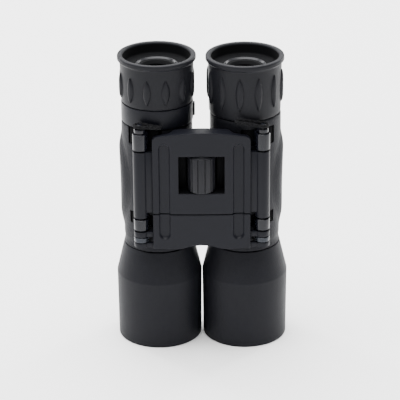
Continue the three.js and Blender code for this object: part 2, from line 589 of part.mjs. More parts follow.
function buildObjectiveEnd(name, barrel) {
  const coneEnd = SEAM_Z - 0.1;
  piece(
    `objective_armour_${name}`,
    turned([
      [HOUSING_BORE, 0], [RIM_RADIUS - HOOD_EDGE_ROUND, 0],
      [RIM_RADIUS - HOOD_EDGE_ROUND * 0.3, HOOD_EDGE_ROUND * 0.3], [RIM_RADIUS, HOOD_EDGE_ROUND],
      [HOOD_RADIUS, HOOD_EDGE_Z], [CONE_TOP_RADIUS, coneEnd], [CONE_TOP_RADIUS - RUBBER, coneEnd],
      [HOOD_RADIUS - RUBBER, HOOD_EDGE_Z - 0.2], [HOOD_RADIUS - RUBBER, HOOD_EDGE_ROUND + FIT],
      [HOUSING_BORE, HOOD_EDGE_ROUND + FIT],
    ]),
    RUBBER_BLACK, barrel,
  );
  const bottom = HOOD_EDGE_ROUND + 2 * FIT;
  piece(
    `objective_housing_${name}`,
    turned([
      [HOUSING_BORE, bottom], [HOUSING_RADIUS, bottom], [HOUSING_RADIUS, HOOD_EDGE_Z - 0.3],
      [TUBE_RADIUS, SEAM_Z], [SPIGOT_RADIUS, SEAM_Z], [SPIGOT_RADIUS, SEAM_Z + SPIGOT_HEIGHT],
      [SPIGOT_BORE, SEAM_Z + SPIGOT_HEIGHT], [SPIGOT_BORE, SEAM_Z - 0.8],
      [HOUSING_BORE, HOOD_EDGE_Z - 0.7],
    ], INNER),
    BLACK_METAL, barrel,
  );
}

// The sliding tube that carries the objective lens, with the lug that the focus plate moves.
function buildCarriage(name, side, barrel) {
  const front = LENS_DEPTH_Z;
  const neck = CARRIAGE_NECK_RADIUS;
  const shelf = front + 2 + LENS_THICKNESS + 2 * FIT;
  const tube = turned(
    [
      [CELL_BORE, front], [CELL_RADIUS, front], [CELL_RADIUS, front + CELL_HEIGHT],
      [neck, SEAM_Z - 2.4], [neck, CARRIAGE_TOP_Z], [neck - SHELL, CARRIAGE_TOP_Z],
      [neck - SHELL, SEAM_Z - 2.4], [LENS_SHELF_RADIUS, front + CELL_HEIGHT + 1], [LENS_SHELF_RADIUS, shelf],
      [CELL_BORE, shelf],
    ],
    INNER,
  );
  const lug = join(
    toward(ARM_WIDTH / 2, neck - SHELL / 2, PIN_REACH, LUG_Z, LUG_Z + LUG_HEIGHT),
    rod(KNUCKLE_RADIUS, LUG_Z, LUG_Z + LUG_HEIGHT, 0, -PIN_REACH),
  );
  const bore = rod(PIN_BORE, LUG_Z - 1, LUG_Z + LUG_HEIGHT + 1, 0, -PIN_REACH);
  piece(`objective_carriage_${name}`, turnToPin(cut(join(tube, lug), bore), side), BLACK_METAL, barrel);
  const lensZ = front + 2 + FIT;
  piece(
    `objective_lens_${name}`,
    turned(
      [
        [0, lensZ - 1.4], [LENS_RADIUS * 0.5, lensZ - 1.05], [LENS_RADIUS, lensZ],
        [LENS_RADIUS, lensZ + LENS_THICKNESS], [LENS_RADIUS * 0.5, lensZ + LENS_THICKNESS - 0.4],
        [0, lensZ + LENS_THICKNESS - 0.5],
      ],
      OPTIC,
    ),
    GLASS, barrel,
  );
  piece(
    `objective_retainer_${name}`,
    turned(
      [
        [LENS_SHELF_RADIUS - 0.2, front + 0.2], [LENS_RADIUS, front + 0.2],
        [LENS_RADIUS, front + 2], [LENS_SHELF_RADIUS - 0.2, front + 1.5],
      ],
      OPTIC,
    ),
    BLACK_METAL, barrel,
  );
}

// Two prisms with a thin air gap between them, in a cage that the light passes straight through.
function buildPrisms(name, barrel) {
  const cage = rod(SPIGOT_RADIUS, PRISM_BOTTOM_Z - 1, PRISM_BOTTOM_Z - 1 + PRISM_CAGE_HEIGHT, 0, 0, INNER);
  const well = box(
    -PRISM_HALF_WIDTH - FIT, PRISM_HALF_WIDTH + FIT, -PRISM_HALF_DEPTH - FIT, PRISM_HALF_DEPTH + FIT,
    PRISM_BOTTOM_Z - 2, PRISM_BOTTOM_Z + PRISM_CAGE_HEIGHT + 2);
  piece(`prism_cage_${name}`, cut(cage, well), BLACK_METAL, barrel);
  const half = PRISM_HALF_DEPTH;
  const low = PRISM_BOTTOM_Z + 7;
  const high = low + 2 * half * PRISM_TILT;
  const across = (points) => {
    const shape = new THREE.Shape(points.map(([y, z]) => new THREE.Vector2(y, z)));
    const geometry = new THREE.ExtrudeGeometry(
      shape, { depth: 2 * PRISM_HALF_WIDTH, bevelEnabled: false });
    geometry.applyMatrix4(new THREE.Matrix4().makeBasis(
      new THREE.Vector3(0, 1, 0), new THREE.Vector3(0, 0, 1), new THREE.Vector3(1, 0, 0)));
    return solid(geometry.translate(-PRISM_HALF_WIDTH, 0, 0));
  };
  piece(
    `half_penta_prism_${name}`,
    across([[-half, PRISM_BOTTOM_Z], [half, PRISM_BOTTOM_Z], [half, high], [-half, low]]),
    GLASS, barrel,
  );
  const top = PRISM_BOTTOM_Z + PRISM_CAGE_HEIGHT - 3;
  piece(
    `roof_prism_${name}`,
    across([[-half, low + 0.5], [half, high + 0.5], [half, high + 5], [half - 6, top], [-half, top]]),
    GLASS, barrel,
  );
}

function buildEyepiece(name, barrel) {
  const top = EYECUP_TOP_Z[name];
  const shoulder = top - EYECUP_DEPTH - EYECUP_FLOOR - FIT;
  const bottom = BODY_END_Z[name] - OCULAR_BOTTOM_DEPTH;
  const radius = SPIGOT_RADIUS;
  const lensBore = EYE_RETAINER_RADIUS + FIT;
  const shelf = shoulder - 7.2;
  piece(
    `ocular_tube_${name}`,
    turned(
      [
        [radius - OCULAR_WALL, bottom], [radius, bottom], [radius, shoulder], [lensBore, shoulder],
        [lensBore, shelf], [EYE_OPENING_RADIUS + 0.3, shelf], [EYE_OPENING_RADIUS + 0.3, shelf - 1.2],
        [radius - OCULAR_WALL, shelf - 2.5],
      ],
      INNER,
    ),
    BLACK_METAL, barrel,
  );
  const eyeZ = shelf + FIT;
  const lensTop = shoulder - 1.4;
  piece(
    `eye_lens_${name}`,
    turned(
      [
        [0, eyeZ], [EYE_RETAINER_RADIUS, eyeZ], [EYE_RETAINER_RADIUS, lensTop],
        [EYE_OPENING_RADIUS - FIT, lensTop + 0.2], [4, lensTop + 1.2], [0, lensTop + 1.6],
      ],
      OPTIC,
    ),
    GLASS, barrel,
  );
  piece(
    `eye_retainer_${name}`,
    turned(
      [
        [EYE_OPENING_RADIUS, lensTop + FIT + 1.4], [EYE_OPENING_RADIUS + 0.6, lensTop + FIT],
        [EYE_RETAINER_RADIUS, lensTop + FIT], [EYE_RETAINER_RADIUS, top - EYECUP_DEPTH + 0.5],
        [EYE_OPENING_RADIUS + 1.4, top - EYECUP_DEPTH + 0.5],
      ],
      OPTIC,
    ),
    BLACK_METAL, barrel,
  );
  const fieldRadius = radius - OCULAR_WALL - FIT;
  piece(
    `field_lens_${name}`,
    turned(
      [
        [0, bottom + 3.2], [fieldRadius, bottom + 4.4], [fieldRadius, bottom + 7.6], [0, bottom + 9.4],
      ],
      OPTIC,
    ),
    GLASS, barrel,
  );
  piece(
    `field_stop_${name}`,
    turned(
      [[8.5, bottom + 1], [fieldRadius, bottom + 1], [fieldRadius, bottom + 2.2], [8.5, bottom + 2.2]],
      OPTIC,
    ),
    BLACK_METAL, barrel,
  );
}

function buildEyecup(name, barrel) {
  const top = EYECUP_TOP_Z[name];
  const base = EYECUP_Z[name];
  const [ribBottom, ribTop] = RIB_SPAN[name].map((height) => base + height);
  const ribMiddle = (ribTop + ribBottom) / 2;
  const ribHalf = (ribTop - ribBottom) / 2;
  const rows = Array.from({ length: 5 }, (_, i) => {
    const z = ribMiddle + ribHalf * (i / 2 - 1);
    const share = (z - base) / (top - LIP_HEIGHT - base);
    return [EYECUP_BASE_RADIUS + (EYECUP_NECK_RADIUS - EYECUP_BASE_RADIUS) * share, z];
  });
  const spacing = (2 * Math.PI) / RIB_COUNT;
  const ribs = (azimuth, z) => {
    const along = (z - ribMiddle) / ribHalf;
    const turns = azimuth / spacing;
    const away = Math.abs(turns - Math.round(turns)) * 2;
    return Math.abs(along) >= 1 ? 0 : RIB_HEIGHT * (1 - along * along) * Math.max(0, 1 - 2 * away);
  };
  const floorTop = top - EYECUP_DEPTH;
  const cup = turned(
    [
      [EYECUP_BORE_RADIUS, base], [EYECUP_BASE_RADIUS - 0.3, base], [EYECUP_BASE_RADIUS, base + 0.5],
      ...rows,
      [EYECUP_NECK_RADIUS, top - LIP_HEIGHT - 1.2], [LIP_RADIUS - 0.3, top - LIP_HEIGHT + 0.3],
      [LIP_RADIUS, top - LIP_HEIGHT / 2], [LIP_RADIUS - 0.8, top], [LIP_OPENING_RADIUS + 0.5, top],
      [LIP_OPENING_RADIUS, top - 0.9], [LIP_OPENING_RADIUS - 0.9, floorTop],
      [EYE_RETAINER_RADIUS + FIT, floorTop], [EYE_RETAINER_RADIUS + FIT, floorTop - EYECUP_FLOOR],
      [EYECUP_BORE_RADIUS, floorTop - EYECUP_FLOOR],
    ],
    FINE, ribs, EYECUP_BASE_RADIUS - 0.1,
  );
  piece(`eyecup_${name}`, cup.rotate([0, 0, RIB_TURN[name]]), CUP_RUBBER, barrel);
}

function buildDioptreRing(barrel) {
  const bottom = BODY_END_Z.right + FIT;
  const top = bottom + DIOPTRE_HEIGHT;
  const outer = DIOPTRE_RADIUS;
  const ring = turned([
    [EYECUP_BORE_RADIUS, bottom], [outer - 0.4, bottom], [outer, bottom + 0.4], [outer, top - 0.4],
    [outer - 0.4, top], [EYECUP_BORE_RADIUS, top],
  ]);
  const nib = box(outer - 1, outer + NIB_HEIGHT, -NIB_HALF_WIDTH, NIB_HALF_WIDTH, bottom + 1.2, top - 1.4);
  piece("dioptre_ring", join(ring, nib), SATIN_BLACK, barrel);
}

function buildBarrel(name, side) {
  const barrel = new THREE.Group();
  barrel.name = `barrel_${name}`;
  barrel.position.set(side * BARREL_X, 0, 0);
  binoculars.add(barrel);
  buildTube(name, side, barrel);
  buildArmour(name, side, barrel);
  buildObjectiveEnd(name, barrel);
  buildCarriage(name, side, barrel);
  buildPrisms(name, barrel);
  buildEyepiece(name, barrel);
  buildEyecup(name, barrel);
  if (name === "right") buildDioptreRing(barrel);
}

buildBridge();
buildFocusPlate();
buildFocusWheel();
buildBarrel("left", 1);
buildBarrel("right", -1);

export default binoculars;
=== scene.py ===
# %% [markdown]
# # Folding roof-prism binoculars
# The pair stands on its two objective ends, folded shut. Each barrel turns on a long pin beside a
# bridge plate, and a smaller plate below it slides to focus. The measured model comes in first, and
# each piece here is a finer shape laid over one of its nodes.

import math

import bmesh
import bpy
import numpy as np
from mathutils import Matrix, Vector


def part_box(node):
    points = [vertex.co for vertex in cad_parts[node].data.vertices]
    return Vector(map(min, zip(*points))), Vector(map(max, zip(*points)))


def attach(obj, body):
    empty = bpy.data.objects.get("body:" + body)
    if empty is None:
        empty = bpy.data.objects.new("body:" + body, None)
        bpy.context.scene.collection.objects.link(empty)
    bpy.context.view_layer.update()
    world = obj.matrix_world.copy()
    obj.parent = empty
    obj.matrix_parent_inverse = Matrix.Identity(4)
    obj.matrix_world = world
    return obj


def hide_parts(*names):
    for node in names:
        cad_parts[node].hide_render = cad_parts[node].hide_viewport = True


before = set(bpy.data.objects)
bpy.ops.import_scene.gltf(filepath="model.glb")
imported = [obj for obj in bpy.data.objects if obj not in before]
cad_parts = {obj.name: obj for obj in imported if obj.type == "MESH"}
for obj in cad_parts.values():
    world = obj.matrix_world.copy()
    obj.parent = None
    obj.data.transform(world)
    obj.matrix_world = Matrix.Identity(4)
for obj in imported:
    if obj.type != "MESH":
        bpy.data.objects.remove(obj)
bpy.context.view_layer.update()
MM = 0.001
SIDES = {"left": 1, "right": -1}

# %% [markdown]
# ## Sizes from the model
# Positions are read from the boxes of the measured nodes wherever a box gives them, and sizes that no
# box shows are named values. All the shapes below are drawn in millimetres and turned into metres
# when the mesh is made.


# %% Read the main positions
def low(node):
    return Vector(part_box(node)[0]) / MM


def high(node):
    return Vector(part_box(node)[1]) / MM


def middle(node):
    return (low(node) + high(node)) / 2


def span(node):
    """The lowest and the highest z of a measured node."""
    return low(node).z, high(node).z


AXIS = {side: middle(f"objective_armour_{side}").to_2d() for side in SIDES}
PIN = {side: middle(f"focus_pin_{side}").to_2d() for side in SIDES}
PIN_TURN = {
    side: math.atan2(PIN[side].x - AXIS[side].x, AXIS[side].y - PIN[side].y) for side in SIDES
}
PIN_REACH = (PIN["left"] - AXIS["left"]).length
HOOD_RADIUS = high("objective_armour_left").x - AXIS["left"].x
SEAM_Z = high("objective_armour_left").z
print("barrel axes", AXIS["left"], AXIS["right"], "pin reach", round(PIN_REACH, 2))

# %% [markdown]
# ## Camera, floor and lights
# A long lens a metre away looks down on the pair at about 23 degrees, which keeps the barrels
# nearly parallel. The floor is one large pale sheet. Black rubber shows its form only by what it
# mirrors, so a wide softbox hangs overhead, a narrow upright one stands behind it to each side, and
# a low wide one fills in from the back.

# %% Place the camera
def in_scene(name, data):
    made = bpy.data.objects.new(name, data)
    bpy.context.scene.collection.objects.link(made)
    return made


CAMERA_DISTANCE = 1.011
CAMERA_ELEVATION = math.radians(23.5)
CAMERA_ROLL = math.radians(-0.42)
SENSOR, FOCAL_PER_SENSOR = 36.0, 5.345
TARGET = Vector((-0.00077, AXIS["left"].y * MM, 0.0682))

lens = bpy.data.cameras.new("studio_camera")
lens.sensor_width = SENSOR
lens.lens = SENSOR * FOCAL_PER_SENSOR
lens.clip_start = 0.05
camera = in_scene("studio_camera", lens)
back = Vector((0, -math.cos(CAMERA_ELEVATION), math.sin(CAMERA_ELEVATION)))
camera.location = TARGET + back * CAMERA_DISTANCE
turn = (-back).to_track_quat("-Z", "Y").to_matrix() @ Matrix.Rotation(CAMERA_ROLL, 3, "Z")
camera.rotation_euler = turn.to_euler()
bpy.context.scene.camera = camera
print("camera at", tuple(round(v, 3) for v in camera.location))


# %% Lay the floor and hang the lights
def plain_material(name, colour, roughness):
    made = bpy.data.materials.new(name)
    made.use_nodes = True
    shader = made.node_tree.nodes["Principled BSDF"]
    shader.inputs["Base Color"].default_value = (*colour, 1)
    shader.inputs["Roughness"].default_value = roughness
    return made


def softbox(name, place, aim, size, power):
    data = bpy.data.lights.new(name, "AREA")
    data.shape = "RECTANGLE"
    data.size, data.size_y = size
    data.energy = power
    made = in_scene(name, data)
    made.location = place
    made.rotation_euler = (Vector(aim) - Vector(place)).to_track_quat("-Z", "Y").to_euler()
    return made


floor_mesh = bpy.data.meshes.new("floor")
floor_mesh.from_pydata([(-6, -6, 0), (6, -6, 0), (6, 6, 0), (-6, 6, 0)], [], [(0, 1, 2, 3)])
floor = in_scene("floor", floor_mesh)
floor_mesh.materials.append(plain_material("pale_floor", (0.96, 0.96, 0.96), 0.9))

world = bpy.data.worlds.new("studio")
world.use_nodes = True
world.node_tree.nodes["Background"].inputs["Color"].default_value = (1, 1, 1, 1)
world.node_tree.nodes["Background"].inputs["Strength"].default_value = 0.55
bpy.context.scene.world = world

softbox("overhead_softbox", (-0.15, 0.1, 1.5), (0, 0, 0.07), (1.8, 1.8), 110)
softbox("left_softbox", (-0.85, 0.85, 0.45), (0, 0, 0.08), (0.16, 1.2), 12)
softbox("right_softbox", (0.85, 0.85, 0.45), (0, 0, 0.08), (0.16, 1.2), 12)
softbox("back_softbox", (0, 1.2, 0.72), (0, 0, 0.1), (1.5, 0.45), 9)
print("floor, world and four softboxes")

# %% [markdown]
# ## Finishes
# Nearly everything is black, so the difference between rubber, painted alloy and glass lies in
# grain and gloss. Two shader groups carry the effects that several finishes share: a fine grain
# that lifts the surface, and a slow drift in tone that keeps large areas from looking sprayed.


# %% Build the shared grain and drift groups
def wire(source, output, target, entry):
    source.id_data.links.new(source.outputs[output], target.inputs[entry])


def shader_group(name, inputs, outputs):
    group = bpy.data.node_groups.new(name, "ShaderNodeTree")
    for label, value in inputs:
        socket = group.interface.new_socket(label, in_out="INPUT", socket_type="NodeSocketFloat")
        socket.default_value = value
    for label in outputs:
        group.interface.new_socket(label, in_out="OUTPUT", socket_type="NodeSocketFloat")
    return group, group.nodes.new("NodeGroupInput"), group.nodes.new("NodeGroupOutput")


def build_grain():
    group, given, result = shader_group("fine_grain", [("Scale", 2500.0), ("Coarse", 0.3)], ["Height"])
    place = group.nodes.new("ShaderNodeTexCoord")
    cells = group.nodes.new("ShaderNodeTexVoronoi")
    cells.feature = "SMOOTH_F1"
    cloud = group.nodes.new("ShaderNodeTexNoise")
    cloud.inputs["Detail"].default_value = 4
    blend = group.nodes.new("ShaderNodeMix")
    wire(place, "Object", cells, "Vector")
    wire(place, "Object", cloud, "Vector")
    wire(given, "Scale", cells, "Scale")
    wire(given, "Scale", cloud, "Scale")
    wire(given, "Coarse", blend, "Factor")
    wire(cloud, "Fac", blend, "A")
    wire(cells, "Distance", blend, "B")
    wire(blend, "Result", result, "Height")
    return group


def build_drift():
    group, given, result = shader_group("slow_drift", [("Scale", 60.0), ("Contrast", 0.5)], ["Mask"])
    place = group.nodes.new("ShaderNodeTexCoord")
    cloud = group.nodes.new("ShaderNodeTexNoise")
    cloud.inputs["Detail"].default_value = 5
    cloud.inputs["Roughness"].default_value = 0.6
    centred = group.nodes.new("ShaderNodeMath")
    centred.operation = "SUBTRACT"
    centred.inputs[1].default_value = 0.5
    spread = group.nodes.new("ShaderNodeMath")
    spread.operation = "MULTIPLY_ADD"
    spread.inputs[2].default_value = 0.5
    spread.use_clamp = True
    wire(place, "Object", cloud, "Vector")
    wire(given, "Scale", cloud, "Scale")
    wire(cloud, "Fac", centred, 0)
    wire(centred, "Value", spread, 0)
    wire(given, "Contrast", spread, 1)
    wire(spread, "Value", result, "Mask")
    return group


GRAIN = build_grain()
DRIFT = build_drift()
print("shader groups:", GRAIN.name, "and", DRIFT.name)


# %% Mix a finish from the two groups
def finish(name, dark, light, rough, grain, drift=(60.0, 1.6), metallic=0.0, specular=0.5, coat=0.0):
    """rough is (where dark, where light); grain is (scale per metre, coarse share, height in metres)."""
    made = bpy.data.materials.new(name)
    made.use_nodes = True
    nodes = made.node_tree.nodes
    shader = nodes["Principled BSDF"]
    shader.inputs["Metallic"].default_value = metallic
    shader.inputs["Specular IOR Level"].default_value = specular
    shader.inputs["Coat Weight"].default_value = coat
    shader.inputs["Coat Roughness"].default_value = 0.15
    slow = nodes.new("ShaderNodeGroup")
    slow.node_tree = DRIFT
    slow.inputs["Scale"].default_value, slow.inputs["Contrast"].default_value = drift
    tone = nodes.new("ShaderNodeMix")
    tone.data_type = "RGBA"
    tone.inputs["A"].default_value = (*dark, 1)
    tone.inputs["B"].default_value = (*light, 1)
    wire(slow, "Mask", tone, "Factor")
    wire(tone, "Result", shader, "Base Color")
    gloss = nodes.new("ShaderNodeMapRange")
    gloss.inputs["To Min"].default_value, gloss.inputs["To Max"].default_value = rough
    wire(slow, "Mask", gloss, "Value")
    wire(gloss, "Result", shader, "Roughness")
    fine = nodes.new("ShaderNodeGroup")
    fine.node_tree = GRAIN
    fine.inputs["Scale"].default_value, fine.inputs["Coarse"].default_value = grain[:2]
    bump = nodes.new("ShaderNodeBump")
    bump.inputs["Distance"].default_value = grain[2]
    wire(fine, "Height", bump, "Height")
    wire(bump, "Normal", shader, "Normal")
    return made


BARREL_RUBBER = finish(
    "barrel_rubber", (0.0052, 0.0054, 0.0075), (0.0074, 0.0077, 0.0104), (0.48, 0.58),
    (2600, 0.5, 0.00012), specular=0.11)
STIPPLED_RUBBER = finish(
    "stippled_rubber", (0.0052, 0.0054, 0.0075), (0.0076, 0.0079, 0.0106), (0.48, 0.6),
    (1700, 0.8, 0.0002), specular=0.12)
CUP_RUBBER = finish(
    "cup_rubber", (0.0052, 0.0054, 0.0073), (0.0074, 0.0077, 0.01), (0.46, 0.56),
    (3000, 0.3, 0.00006), specular=0.13)
PLATE_PAINT = finish(
    "plate_paint", (0.0045, 0.0048, 0.0072), (0.006, 0.0064, 0.0094), (0.36, 0.44),
    (3500, 0.6, 0.00004), specular=0.11)
HINGE_PAINT = finish(
    "hinge_paint", (0.0042, 0.0046, 0.0072), (0.0056, 0.0061, 0.009), (0.08, 0.12),
    (3500, 0.5, 0.000005), specular=0.22)
WHEEL_RUBBER = finish(
    "wheel_rubber", (0.0054, 0.0056, 0.0076), (0.0074, 0.0077, 0.0102), (0.42, 0.5),
    (3200, 0.4, 0.00004), specular=0.16)
BLACK_ALLOY = finish(
    "black_alloy", (0.007, 0.0072, 0.009), (0.011, 0.0113, 0.0138), (0.26, 0.34),
    (5000, 0.2, 0.00002), metallic=0.1, specular=0.25)
LUG_ALLOY = finish(
    "lug_alloy", (0.013, 0.015, 0.02), (0.018, 0.021, 0.027), (0.24, 0.3),
    (5000, 0.2, 0.00001), metallic=0.4, specular=0.3)
# Near-black flat finish: the real black of the hoods' baffles, the inner tubes and the prism cages, and
# also painted shade in recesses that would fall dark, namely the plate's window, the inside of the wheel
# cover, the insides of the eyecups, the eye rings' funnels and the arm feet in the body slots.
FLAT_BLACK_AND_PAINTED_SHADE = finish(
    "baffle_black", (0.0018, 0.0019, 0.0023), (0.003, 0.0031, 0.0037), (0.6, 0.75),
    (3000, 0.5, 0.00005), specular=0.06)
STEEL = finish(
    "pin_steel", (0.3, 0.31, 0.33), (0.38, 0.39, 0.41), (0.2, 0.3), (6000, 0.2, 0.00001), metallic=1.0)
BRASS = finish(
    "nut_brass", (0.45, 0.33, 0.13), (0.58, 0.44, 0.2), (0.25, 0.4), (4000, 0.3, 0.00002), metallic=1.0)
CORD = finish(
    "cord_yarn", (0.002, 0.002, 0.0025), (0.0065, 0.0065, 0.0075), (0.7, 0.85),
    (9000, 0.5, 0.00008), drift=(900.0, 2.0), specular=0.1)
print("finishes:", len(bpy.data.materials))


# %% Coated glass
def lens_glass(name, tint):
    made = bpy.data.materials.new(name)
    made.use_nodes = True
    nodes = made.node_tree.nodes
    shader = nodes["Principled BSDF"]
    shader.inputs["Transmission Weight"].default_value = 1.0
    shader.inputs["IOR"].default_value = 1.6
    shader.inputs["Coat Weight"].default_value = 1.0
    shader.inputs["Coat Roughness"].default_value = 0.02
    shader.inputs["Coat Tint"].default_value = (*tint, 1)
    smear = nodes.new("ShaderNodeGroup")
    smear.node_tree = DRIFT
    smear.inputs["Scale"].default_value = 150.0
    gloss = nodes.new("ShaderNodeMapRange")
    gloss.inputs["To Min"].default_value = 0.01
    gloss.inputs["To Max"].default_value = 0.05
    wire(smear, "Mask", gloss, "Value")
    wire(gloss, "Result", shader, "Roughness")
    shader.inputs["Base Color"].default_value = (0.9, 0.96, 1.0, 1)
    return made


GLASS = lens_glass("coated_glass", (0.65, 0.8, 1.0))
PRISM_GLASS = lens_glass("prism_glass", (1.0, 1.0, 1.0))
print("two kinds of glass")

# %% [markdown]
# ## Shaping helpers
# Barrels, cups, rings and lenses are all turned parts, so one helper spins an outline about a
# barrel's axis. Corners get a small fillet first, because real edges are never knife sharp and
# the fillet is what catches the light. The other helpers make a bevelled block and join meshes.


# %% Fillets and turned shapes
KNUCKLE_RADIUS, KNUCKLE_BORE = 3.4, 1.8


def filleted(corners, steps=4):
    """Rounds each corner (radius, z, fillet) of a closed outline."""
    made = []
    count = len(corners)
    for i, (r, z, fillet) in enumerate(corners):
        here = Vector((r, z))
        if fillet <= 0:
            made.append((r, z))
            continue
        before = Vector(corners[i - 1][:2]) - here
        after = Vector(corners[(i + 1) % count][:2]) - here
        angle = before.angle(after)
        reach = min(fillet / math.tan(angle / 2), before.length * 0.48, after.length * 0.48)
        start = here + before.normalized() * reach
        end = here + after.normalized() * reach
        for k in range(steps + 1):
            t = k / steps
            point = start * (1 - t) ** 2 + here * 2 * t * (1 - t) + end * t * t
            made.append((point.x, point.y))
    return made


def turned(outline, columns=128, about=(0, 0), relief=None, relief_from=0.0):
    """Spins a closed, anticlockwise outline of (radius, z). relief(azimuth, z) lifts the outer side;
    azimuth 0 is the front and grows toward +X."""
    verts, faces = [], []
    rows = len(outline)
    for i in range(columns):
        azimuth = 2 * math.pi * i / columns
        for r, z in outline:
            if relief and r >= relief_from:
                r = r + relief(azimuth, z)
            verts.append((about[0] + r * math.sin(azimuth), about[1] - r * math.cos(azimuth), z))
    for i in range(columns):
        a, b = i * rows, ((i + 1) % columns) * rows
        for j in range(rows):
            k = (j + 1) % rows
            faces.append((a + j, b + j, b + k, a + k))
    return verts, faces


def joined(*shapes):
    verts, faces = [], []
    for more_verts, more_faces in shapes:
        start = len(verts)
        verts += list(more_verts)
        faces += [tuple(start + i for i in face) for face in more_faces]
    return verts, faces


def moved(shape, turn=0.0, by=(0, 0, 0)):
    matrix = Matrix.Translation(Vector(by)) @ Matrix.Rotation(turn, 4, "Z")
    return [tuple(matrix @ Vector(v)) for v in shape[0]], shape[1]


def block(x0, x1, y0, y1, z0, z1, bevel=0.25, segments=2):
    bm = bmesh.new()
    bmesh.ops.create_cube(bm, size=1.0)
    size = Vector((x1 - x0, y1 - y0, z1 - z0))
    centre = Vector((x0 + x1, y0 + y1, z0 + z1)) / 2
    for v in bm.verts:
        v.co = Vector((v.co.x * size.x, v.co.y * size.y, v.co.z * size.z)) + centre
    if bevel:
        bmesh.ops.bevel(
            bm, geom=bm.edges[:], offset=bevel, segments=segments, affect="EDGES", profile=0.5)
    bm.verts.index_update()
    shape = [tuple(v.co) for v in bm.verts], [tuple(v.index for v in f.verts) for f in bm.faces]
    bm.free()
    return shape


def ring_corners(bore, outer, z0, z1, bore_fillet, outer_fillet):
    return [
        (bore, z0, bore_fillet), (outer, z0, outer_fillet), (outer, z1, outer_fillet),
        (bore, z1, bore_fillet)]


def knuckle(z0, z1, about, fillet=0.35):
    corners = ring_corners(KNUCKLE_BORE, KNUCKLE_RADIUS, z0, z1, 0, fillet)
    return turned(filleted(corners, 3), 48, about)


def toward_pin(shape, side):
    """Turns a shape that reaches out to the front from a barrel's axis toward the hinge pin."""
    return moved(shape, PIN_TURN[side], (*AXIS[side], 0))


print("shaping helpers ready")


# %% Make a piece and hang it on its body
def smooth(mesh, sharp):
    """Shades a mesh smooth, with an edge kept wherever it turns by more than sharp degrees."""
    mesh.polygons.foreach_set("use_smooth", [True] * len(mesh.polygons))
    mesh.set_sharp_from_angle(angle=math.radians(sharp))


def mesh_object(name, shape, material, sharp=32):
    mesh = bpy.data.meshes.new(name)
    mesh.from_pydata([tuple(c * MM for c in v) for v in shape[0]], [], shape[1])
    bm = bmesh.new()
    bm.from_mesh(mesh)
    bmesh.ops.remove_doubles(bm, verts=bm.verts[:], dist=1e-7)
    bmesh.ops.dissolve_degenerate(bm, edges=bm.edges[:], dist=1e-8)
    bm.to_mesh(mesh)
    bm.free()
    smooth(mesh, sharp)
    if material:
        mesh.materials.append(material)
    return in_scene(name, mesh)


def turned_piece(name, corners, about, material, columns=96, steps=4, sharp=32):
    return mesh_object(name, turned(filleted(corners, steps), columns, about), material, sharp)


def settle(made, body, slot, *stands_for):
    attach(made, body)
    if stands_for:
        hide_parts(*stands_for)
    return made


def plain_copy(made, name):
    """The evaluated shape of an object as a plain mesh object, with the original removed."""
    graph = bpy.context.evaluated_depsgraph_get()
    graph.update()
    mesh = bpy.data.meshes.new_from_object(made.evaluated_get(graph))
    bpy.data.objects.remove(made)
    mesh.name = name
    return in_scene(name, mesh)


def cut_away(made, cutter_shape, sharp=32):
    """Cuts one shape out of a piece and returns it as a plain mesh object."""
    cutter = mesh_object("cutter", cutter_shape, None)
    cut = made.modifiers.new("cut", "BOOLEAN")
    cut.operation = "DIFFERENCE"
    cut.solver = "EXACT"
    cut.use_self = True  # the piece or the cutter may be made of blocks that overlap
    cut.object = cutter
    name = made.name
    made.name = name + "_uncut"
    result = plain_copy(made, name)
    bpy.data.objects.remove(cutter)
    result.data.set_sharp_from_angle(angle=math.radians(sharp))
    return result


def paint_shade_inside(made, material, inside):
    """Paints shade: gives a second material to faces whose middle, in millimetres, and normal pass a
    test.
    """
    made.data.materials.append(material)
    for face in made.data.polygons:
        if inside(face.center / MM, face.normal):
            face.material_index = 1


print("piece helpers ready")

# %% [markdown]
# ## A ring of copies with Geometry Nodes
# The eyecups' ribs and the focus wheel's lands are one shape set out again and again round a centre.
# Copying by hand would work, but a small node tree says the rule once: it takes a source object, a
# count, a radius and a start angle, turns each copy to face outward, and ends in Realize Instances
# and Set Material so that the result is ordinary mesh.


# %% Build the ring tree
def geometry_tree(name, inputs):
    tree = bpy.data.node_groups.new(name, "GeometryNodeTree")
    tree.interface.new_socket("Geometry", in_out="OUTPUT", socket_type="NodeSocketGeometry")
    for label, kind in inputs:
        tree.interface.new_socket(label, in_out="INPUT", socket_type=kind)
    return tree, tree.nodes.new("NodeGroupInput"), tree.nodes.new("NodeGroupOutput")


def maths(tree, operation, first, second=None, third=None):
    node = tree.nodes.new("ShaderNodeMath")
    node.operation = operation
    for slot, value in enumerate((first, second, third)):
        if value is None:
            continue
        if isinstance(value, (int, float)):
            node.inputs[slot].default_value = value
        else:
            tree.links.new(value, node.inputs[slot])
    return node.outputs["Value"]


def end_as_mesh(last, output, given, result):
    """Ends a tree: ordinary mesh, in the given material."""
    real = last.id_data.nodes.new("GeometryNodeRealizeInstances")
    paint = last.id_data.nodes.new("GeometryNodeSetMaterial")
    wire(last, output, real, "Geometry")
    wire(real, "Geometry", paint, "Geometry")
    wire(given, "Material", paint, "Material")
    wire(paint, "Geometry", result, "Geometry")


